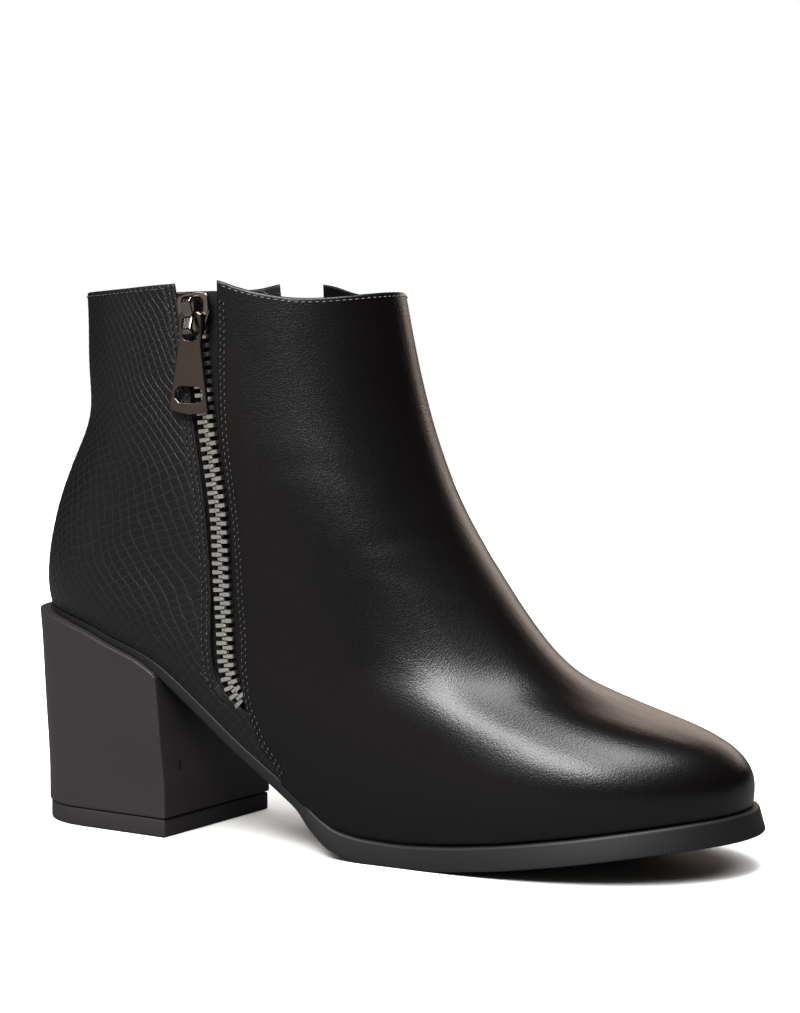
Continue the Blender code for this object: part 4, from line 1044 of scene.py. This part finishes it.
def tube_faces(count, rings, around, flip):
    """Sides and both ends of equal tubes of rings; flip says which of them face the other way."""
    sides = grid_cells(rings, around, True)
    ends = np.array([list(range(around))[::-1], [around * (rings - 1) + i for i in range(around)]])
    start = (np.arange(count) * rings * around)[:, None, None]
    groups = [sides[None] + start, ends[None] + start]
    for faces in groups:
        faces[flip] = faces[flip][:, :, ::-1]
    return [groups[0].reshape(-1, 4), groups[1].reshape(-1, around)]


# %% Teeth
# Place across in mm from the chain's middle, half height along the chain, half depth.
TOOTH = np.array(((-0.85, 0.40, 0.50), (-0.70, 0.54, 0.80), (0.40, 0.56, 0.85), (0.60, 0.60, 0.90),
                  (0.75, 0.68, 0.95), (2.70, 0.68, 0.95), (2.90, 0.54, 0.75)))
# Corners of each station as shares of its half height and half depth.
CORNERS = np.array(((1, 0.75), (0.84, 1), (-0.84, 1), (-1, 0.75),
                    (-1, -0.75), (-0.84, -1), (0.84, -1), (1, -0.75)))

half_pitch = 0.5 * TOOTH_PITCH
count = int((chain_run[-1] - 0.001) / half_pitch)
side = np.where(np.arange(count) % 2 == 0, -1.0, 1.0)
p, t, n, w = (v[:, None, None] for v in chain_frames(0.0005 + half_pitch * (np.arange(count) + 0.5)))
across, high, deep = (TOOTH[None, :, None, i:i + 1] * MM for i in range(3))
loops = (p + w * (side[:, None, None, None] * across) + t * (CORNERS[None, None, :, :1] * high)
         + n * (CORNERS[None, None, :, 1:] * deep - TEETH_SINK))
nickel = new_material("bright_nickel", "#f0eeea", 0.28, Metallic=1.0)[0]
faces = tube_faces(count, len(TOOTH), len(CORNERS), side < 0)
teeth = put_mesh("zip_teeth", loops.reshape(-1, 3), faces, smooth=False)
dress(teeth, nickel, replaces=("zip_chain",))

# %% [markdown]
# ## Zip tapes
#
# Two woven tapes carry the teeth. Each runs from under the leather to the middle of the chain.
# A herringbone weave is drawn in the material from the piece's own map in millimetres.

# %% Woven tape
TAPE_MARGIN, TAPE_DEPTH, TAPE_THICK = 0.0045, 0.0023, 0.0006
# The real yarns are 0.3 mm apart; drawn at 0.5 mm so that they show.
YARN, HERRINGBONE = 0.5, 2.4

tape_weave, tree, shader = new_material("woven_polyester_tape", "#0b0b0b", 0.8, Specular_IOR_Level=0.25)
x, y = map_parts(tree)
yarn = maths(tree, "ADD", maths(tree, "PINGPONG", x, HERRINGBONE), y)
wave = maths(tree, "SINE", maths(tree, "MULTIPLY", yarn, 2.0 * math.pi / YARN))
bump(tree, shader, wave, 0.6, 0.0001)
tint = add(tree, "MapRange", {"Value": wave, "From Min": -1.0})
colour_between(tree, shader, tint.outputs[0], "#070707", "#171617")


def strip(name, a, b, rows, cols, thick, relief=None):
    """A band on the inside of the wall between two angles in each row, with its map in millimetres."""
    phi, up = panel_grid(a, b, rows, edge_dense(cols, 0.02))
    point = last_face(phi, up)
    uv = np.stack([arc_from(point, 1), arc_from(point, 0)], axis=-1) / MM
    lift = 0.0 if relief is None else relief(uv)
    return hide(name, phi, up, -TAPE_DEPTH, thick, 0.4 * thick, lift, uv=uv)


def moved(phi, up, distance):
    """The angle at a distance along the ring from an angle."""
    speed = np.linalg.norm(last_face(phi + 1e-3, up) - last_face(phi - 1e-3, up), axis=-1) / 2e-3
    return phi + distance / speed


rows = np.linspace(SLOT_BOTTOM["zip"] - 0.03, 0.985, 120)
rear, front = slot_edges("zip", np.maximum(rows, SLOT_BOTTOM["zip"]))
below = np.minimum(rows - CHAIN_LINE[0, 0], 0.0)
middle = chain_angle(np.maximum(rows, CHAIN_LINE[0, 0])) + 0.03 * below
# The tapes end this far from the middle of the chain.
half_gap = 0.00015
for name, a, b in (("zip_tape_rear", moved(rear, rows, -TAPE_MARGIN), moved(middle, rows, -half_gap)),
                   ("zip_tape_front", moved(middle, rows, half_gap), moved(front, rows, TAPE_MARGIN))):
    dress(strip(name, a, b, rows, 22, TAPE_THICK), tape_weave, replaces=("zip_tape",))

# %% [markdown]
# ## Elastic gore
#
# On the inner side a narrow wedge of black elastic lets the shaft open. Its rubber threads are
# covered in yarn and stand as fine upright ribs.

# %% Gore
GORE_MARGIN, GORE_THICK, RIB, RIB_HEIGHT = 0.0040, 0.0012, 1.15, 0.00016
elastic, tree, shader = new_material("ribbed_elastic", "#101012", 0.8)
net = add(tree, "UVMap", uv_map="UVMap")
yarns = add(tree, "TexWave", {"Vector": net.outputs[0], "Scale": 0.5, "Distortion": 0.6, "Detail": 1.0},
            wave_type="BANDS", bands_direction="Y")
bump(tree, shader, yarns.outputs["Fac"], 0.5, 0.00015)

rows = np.linspace(SLOT_BOTTOM["gore"] - 0.03, 0.965, 90)
rear, front = slot_edges("gore", np.maximum(rows, SLOT_BOTTOM["gore"]))
gore = strip("gore_elastic", moved(front, rows, -GORE_MARGIN), moved(rear, rows, GORE_MARGIN), rows,
             110, GORE_THICK, lambda uv: RIB_HEIGHT * np.cos(2.0 * math.pi * uv[..., 0] / RIB))
dress(gore, elastic, replaces=("elastic_gore",))

# %% [markdown]
# ## Insole
#
# A thin padded sock lies on the board inside. It is the sole's outline drawn in by the wall,
# with a soft rounded edge, and follows the sole line down from the seat.

# %% Insole sock
INSOLE_THICKNESS, GAP = 0.0025, 0.0003
# Share up the thickness, and how far the edge stands in there in millimetres.
SOCK_PROFILE = ((1.0, 1.2), (0.97, 0.7), (0.86, 0.3), (0.66, 0.05), (0.4, 0.0), (0.0, 0.1))

phi = np.linspace(0.0, 2.0 * math.pi, 361)[:-1]
base = last_face(phi, 0.0) - edge_out(phi) * (WALL + 2.0 * GAP)
base[:, 2] = sole_line(foot_share(base[:, 0]))
rows = [base - edge_out(phi) * inset * MM + (0.0, 0.0, lift * INSOLE_THICKNESS)
        for lift, inset in SOCK_PROFILE]
sock_leather, tree, shader = new_material("sock_lining", "#2b2522", 0.7)
grain = add(tree, "TexVoronoi", {"Vector": object_place(tree), "Scale": 900.0})
bump(tree, shader, grain.outputs["Distance"], 0.2, 0.0002)
sock = closed_edge("insole_sock", np.array(rows), 31)
dress(sock, sock_leather, replaces=("insole",))

# %% [markdown]
# ## Slider and pull
#
# The slider is a stamped plate with two side walls round the teeth and a strap over it. The pull
# hangs from the strap by its ring. All of them are plates with rounded corners and bevelled
# edges: an outline is carried down its own edge, drawn in where the bevel turns.

# %% Bevelled plates


def rounded(corners, radius, steps=6):
    """A closed outline whose corners become curves of second degree that start a radius away."""
    c = np.asarray(corners, float)
    before, after = np.roll(c, 1, axis=0) - c, np.roll(c, -1, axis=0) - c
    long = np.minimum(np.linalg.norm(before, axis=1), np.linalg.norm(after, axis=1))
    r = np.minimum(radius, 0.45 * long)[:, None]
    t = np.linspace(0.0, 1.0, steps)[:, None, None]
    curve = (1 - t) ** 2 * (c + unit(before) * r) + 2 * t * (1 - t) * c + t**2 * (c + unit(after) * r)
    return curve.transpose(1, 0, 2).reshape(-1, 2)


def bevelled(outline, holes, low, high, bevel):
    """Points and faces of a plate with holes whose upper and lower edges are rounded off.

    Every loop is carried up its own wall in rings, and the caps are cut into triangles."""
    turn = np.linspace(0.0, 0.5 * math.pi, 4)
    inset = np.concatenate([bevel * (1 - np.sin(turn)), [0.0, 0.0], bevel * (1 - np.sin(turn[::-1]))])
    # Two rings close to the bevels keep the wall between them flat in the light.
    flat = 0.12 * (high - low - 2.0 * bevel)
    level = np.concatenate([low + bevel * (1 - np.cos(turn)), [low + bevel + flat, high - bevel - flat],
                            high - bevel * (1 - np.cos(turn[::-1]))])
    points, faces, caps, start = [], [], ([], []), 0
    for number, loop in enumerate([outline] + list(holes)):
        loop = loop if turns_left(loop) > 0 else loop[::-1]
        sign = 1.0 if number == 0 else -1.0
        rings = np.array([np.column_stack([loop_inset(loop, sign * i), np.full(len(loop), z)])
                          for i, z in zip(inset, level)])
        cells = grid_cells(len(rings), len(loop), True, start)
        faces.append(cells if number == 0 else cells[:, ::-1])
        caps[0].append((start, rings[0]))
        caps[1].append((start + (len(rings) - 1) * len(loop), rings[-1]))
        points.append(rings.reshape(-1, 3))
        start += len(points[-1])
    triangles = []
    for faces_up, cap in zip((False, True), caps):
        ids = np.concatenate([begin + np.arange(len(ring)) for begin, ring in cap])
        flat_rings = [[Vector((x, y, 0.0)) for x, y, _ in ring] for _, ring in cap]
        picked = np.array(tessellate_polygon(flat_rings))
        tri, xyz = ids[picked], np.concatenate([ring for _, ring in cap])[picked]
        turn_up = np.cross(xyz[:, 1] - xyz[:, 0], xyz[:, 2] - xyz[:, 0])[:, 2] > 0
        triangles.append(np.where((turn_up == faces_up)[:, None], tri, tri[:, ::-1]))
    return np.concatenate(points), [np.concatenate(faces), np.concatenate(triangles)]


def mirrored(half):
    """A closed outline from its right half, from the bottom up, and the same points mirrored."""
    loop = half + [(-x, y) for x, y in half[::-1] if x]
    return loop[-1:] + loop[:-1]


def placed(pieces, axes, origin):
    """Several plates as one set of points and faces, turned into the given axes."""
    points, quads, tris, start = [], [], [], 0
    for xyz, (quad, tri) in pieces:
        points.append(xyz)
        quads.append(quad + start)
        tris.append(tri + start)
        start += len(xyz)
    return origin + np.concatenate(points) @ axes, [np.concatenate(quads), np.concatenate(tris)]


# %% Slider
# Across is X, down the zip is Y, and out of the leather is Z.
SLIDER_WIDTH, SLIDER_LENGTH, SLIDER_PLATE = 0.0112, 0.0145, 0.0013
PLATE_LOW, CHAIN_WIDTH, STRAP_WIDTH = 0.0003, 0.0064, 0.0034
# The plate stands this much higher than its hinge's place says, and the strap a little less.
RISE, STRAP_RISE = 0.0012, 0.8
FLANGE_WIDTH, FLANGE_LOW, SUNK = 0.0011, -0.0017, 0.0004
PLATE_BEVEL, FLANGE_BEVEL, STRAP_BEVEL = 0.00045, 0.0003, 0.0004

slider_place = float(np.interp(SLIDER_PLACE, chain_up, chain_run))
slider_origin = chain_frames(np.array([slider_place]))[0][0]
_, climb, slider_z, _ = (v[0] for v in chain_frames(np.array([slider_place - 0.006])))
slider_y = -climb
slider_axes = np.array((np.cross(slider_y, slider_z), slider_y, slider_z))
plate_top = PLATE_LOW + SLIDER_PLATE
wide, narrow, long = 0.5 * SLIDER_WIDTH, 0.36 * SLIDER_WIDTH, SLIDER_LENGTH
body = [(-wide + 0.0006, 0.0008), (-wide, 0.002), (-wide, 0.44 * long), (-narrow, 0.66 * long),
        (-narrow, long - 0.002), (-narrow + 0.001, long - 0.001)]
body = np.array(body + [(-x, y) for x, y in body[::-1]] + [(0.0018, 0.0), (-0.0018, 0.0)]) - (0.0, RISE)
parts = [bevelled(rounded(body, 0.0012), [], PLATE_LOW, plate_top, PLATE_BEVEL)]
inside = 0.5 * CHAIN_WIDTH + GAP + 0.0001
for sign in (-1.0, 1.0):
    a, b = sorted((sign * inside, sign * (inside + FLANGE_WIDTH)))
    flange = rounded([(a, 0.0025), (b, 0.0025), (b, 0.46 * long), (a, 0.46 * long)], 0.0004)
    parts.append(bevelled(flange, [], FLANGE_LOW, PLATE_LOW + SUNK, FLANGE_BEVEL))
# Side view of the strap: place down the zip and height, over the top and back underneath.
root = plate_top - SUNK
ARCH = ((0.0010, root), (0.0011, 0.0045), (0.0026, 0.0060), (0.0074, 0.0050), (0.0113, 0.0071),
        (0.0129, 0.0066), (0.0131, root), (0.0120, root), (0.0118, 0.0042), (0.0111, 0.0055),
        (0.0080, 0.0041), (0.0034, 0.0049), (0.0025, 0.0040), (0.0024, root))
arch = rounded(np.array(ARCH) - (RISE * STRAP_RISE, 0.0), 0.0008)
strap, faces = bevelled(arch, [], -0.5 * STRAP_WIDTH, 0.5 * STRAP_WIDTH, STRAP_BEVEL)
parts.append((strap[:, [2, 0, 1]], faces))
gunmetal = new_material("polished_gunmetal", "#8d8580", 0.16, Metallic=1.0)[0]
slider = put_mesh("slider_body", *placed(parts, slider_axes, slider_origin), smooth=(True, False))
dress(slider, gunmetal, replaces=("zip_slider",))

# %% Pull
# Its ring lies round the hinge, and it hangs down with a slight lean toward the leather.
PULL_LENGTH, PULL_THICKNESS, PULL_HINGE, PULL_AXIS_HEIGHT = 0.0305, 0.0013, 0.0058, 0.00305
PULL_LEAN, PULL_BEVEL = math.radians(1.2), 0.00032

pull_origin = slider_origin + slider_y * PULL_HINGE + slider_z * PULL_AXIS_HEIGHT
down = np.array((-0.03, 0.0, -1.0))
down = unit(down - slider_z * down.dot(slider_z))
down = unit(down - slider_z * math.tan(PULL_LEAN))
across = unit(np.cross(down, slider_z))
pull_axes = np.array((across, down, unit(np.cross(across, down))))
long, neck, wide = PULL_LENGTH, 0.0040, 0.0067
side = [(0.0024, -0.0010), (0.0037, -0.0002), (neck, 0.0014), (neck, 0.0046), (0.0038, 0.0080),
        (wide, long - 0.0019), (wide - 0.0004, long - 0.0014), (0.0030, long - 0.0005),
        (0.0, long - 0.0001)]
ring = [(0.0020, 0.0008), (0.0026, 0.0014), (0.0026, 0.0066), (0.0018, 0.0078)]
top, low = long - 0.0087, long - 0.0037
window = [(0.0034, top), (0.0048, top + 0.0014), (0.0048, low - 0.0014), (0.0034, low)]
loops = [rounded(mirrored(half), radius)
         for half, radius in ((side, 0.0003), (ring, 0.0005), (window, 0.0003))]
plate = bevelled(loops[0], loops[1:], -0.5 * PULL_THICKNESS, 0.5 * PULL_THICKNESS, PULL_BEVEL)
pull_metal = new_material("polished_gunmetal_pull", "#6f6660", 0.26, Metallic=1.0)[0]
pull = put_mesh("pull_tab", *placed([plate], pull_axes, pull_origin), smooth=(True, False))
dress(pull, pull_metal, body="pull", replaces=("zip_pull",))

# %% [markdown]
# ## Stitches
#
# Each stitch is a short arched thread that dips into the leather at both ends: six rings of six
# points along a flat arch, repeated along a path beside an edge.

# %% Stitch rows
THREAD, FINE_THREAD, STITCH_HEIGHT = 0.00042, 0.00034, 0.00030
# Thickness of the thread in each ring of a stitch, as a share of its full one.
STITCH_TAPER = np.array((0.45, 0.9, 1.0, 1.0, 0.9, 0.45))
AROUND = 6
# Distance between stitches, and the share of it that thread fills.
SEAM_PITCH, SEAM_FILL = 0.0021, 0.58


def stitches(name, line, material, pitch=SEAM_PITCH, fill=SEAM_FILL, width=THREAD):
    """One row of stitches along a path: centre line a flat arch, six points round it."""
    path, normal = line
    run = arc_from(path, 0)
    count, rings = int(run[-1] / pitch) - 1, len(STITCH_TAPER)
    s = np.linspace(-0.5, 0.5, rings)
    at = (0.5 + np.arange(count))[:, None] * pitch + run[-1] % pitch / 2 + s[None, :] * pitch * fill
    n = unit(read_along(run, normal, at))
    t = unit(read_along(run, path, at + 2e-4) - read_along(run, path, at - 2e-4))
    side = np.cross(t, n)
    arch = STITCH_HEIGHT * (1.0 - (2.0 * np.abs(s)) ** 4) - 0.5 * STITCH_HEIGHT
    centre = read_along(run, path, at) + n * arch[None, :, None]
    angle = np.linspace(0.0, 2.0 * math.pi, AROUND + 1)[:-1, None]
    ring = side[:, :, None] * np.cos(angle) + n[:, :, None] * np.sin(angle)
    xyz = centre[:, :, None] + ring * (0.5 * width * STITCH_TAPER)[None, :, None, None]
    obj = put_mesh(name, xyz.reshape(-1, 3), tube_faces(count, rings, AROUND, np.full(count, True)))
    return dress(obj, material)


def beside(kind, edge, distance, low, lift):
    """Path at a distance from a slot's edge, on the side of the leather, and its normals."""
    up = np.linspace(low, 0.985, 500)
    point, normal, _ = last_frame(slot_edges(kind, up)[0 if edge == "rear" else 1], up)
    side = unit(np.cross(normal, unit(np.gradient(point, axis=0))))
    away = (1.0 if edge == "rear" else -1.0) * (1.0 if kind == "zip" else -1.0)
    return point + side * distance * away + normal * lift, normal


def under_collar(a, b, lift):
    """Path just below the collar between two angles, and its normals."""
    phi = np.linspace(a + 0.02, b - 0.02, 700)
    rise = np.linalg.norm(last_face(phi, 1.0) - last_face(phi, 0.99), axis=-1) / 0.01
    point, normal, _ = last_frame(phi, 1.0 - 0.0014 / rise)
    return point + normal * lift, normal


black_thread = new_material("waxed_black_thread", "#3b393a", 0.30)[0]
grey_thread = new_material("grey_thread", "#6a6764", 0.6)[0]
(zip_rear, zip_front), (gore_rear, gore_front) = (slot_edges(kind, 1.0) for kind in ("zip", "gore"))
front = under_collar(zip_front, gore_front, PANEL_STEP)
rear = under_collar(gore_rear - 2.0 * math.pi, zip_rear, 0.0)
stitches("stitches_collar_front", front, grey_thread, 0.0021, 0.64, FINE_THREAD)
stitches("stitches_collar_rear", rear, black_thread, 0.0022, 0.66)
for kind in ("zip", "gore"):
    for number, gap in enumerate(SEAM_ROWS):
        line = beside(kind, "front", gap, 0.01, PANEL_STEP)
        stitches(f"stitches_{kind}_front_{number + 1}", line, black_thread)
# Name, slot, distance from its rear edge, and share up the side where the row starts.
for name, kind, gap, low in (("zip_rear_1", "zip", 0.0012, 0.165), ("zip_rear_2", "zip", 0.0030, 0.165),
                             ("gore_rear", "gore", 0.0012, 0.51)):
    stitches("stitches_" + name, beside(kind, "rear", gap, low, 0.0), black_thread)
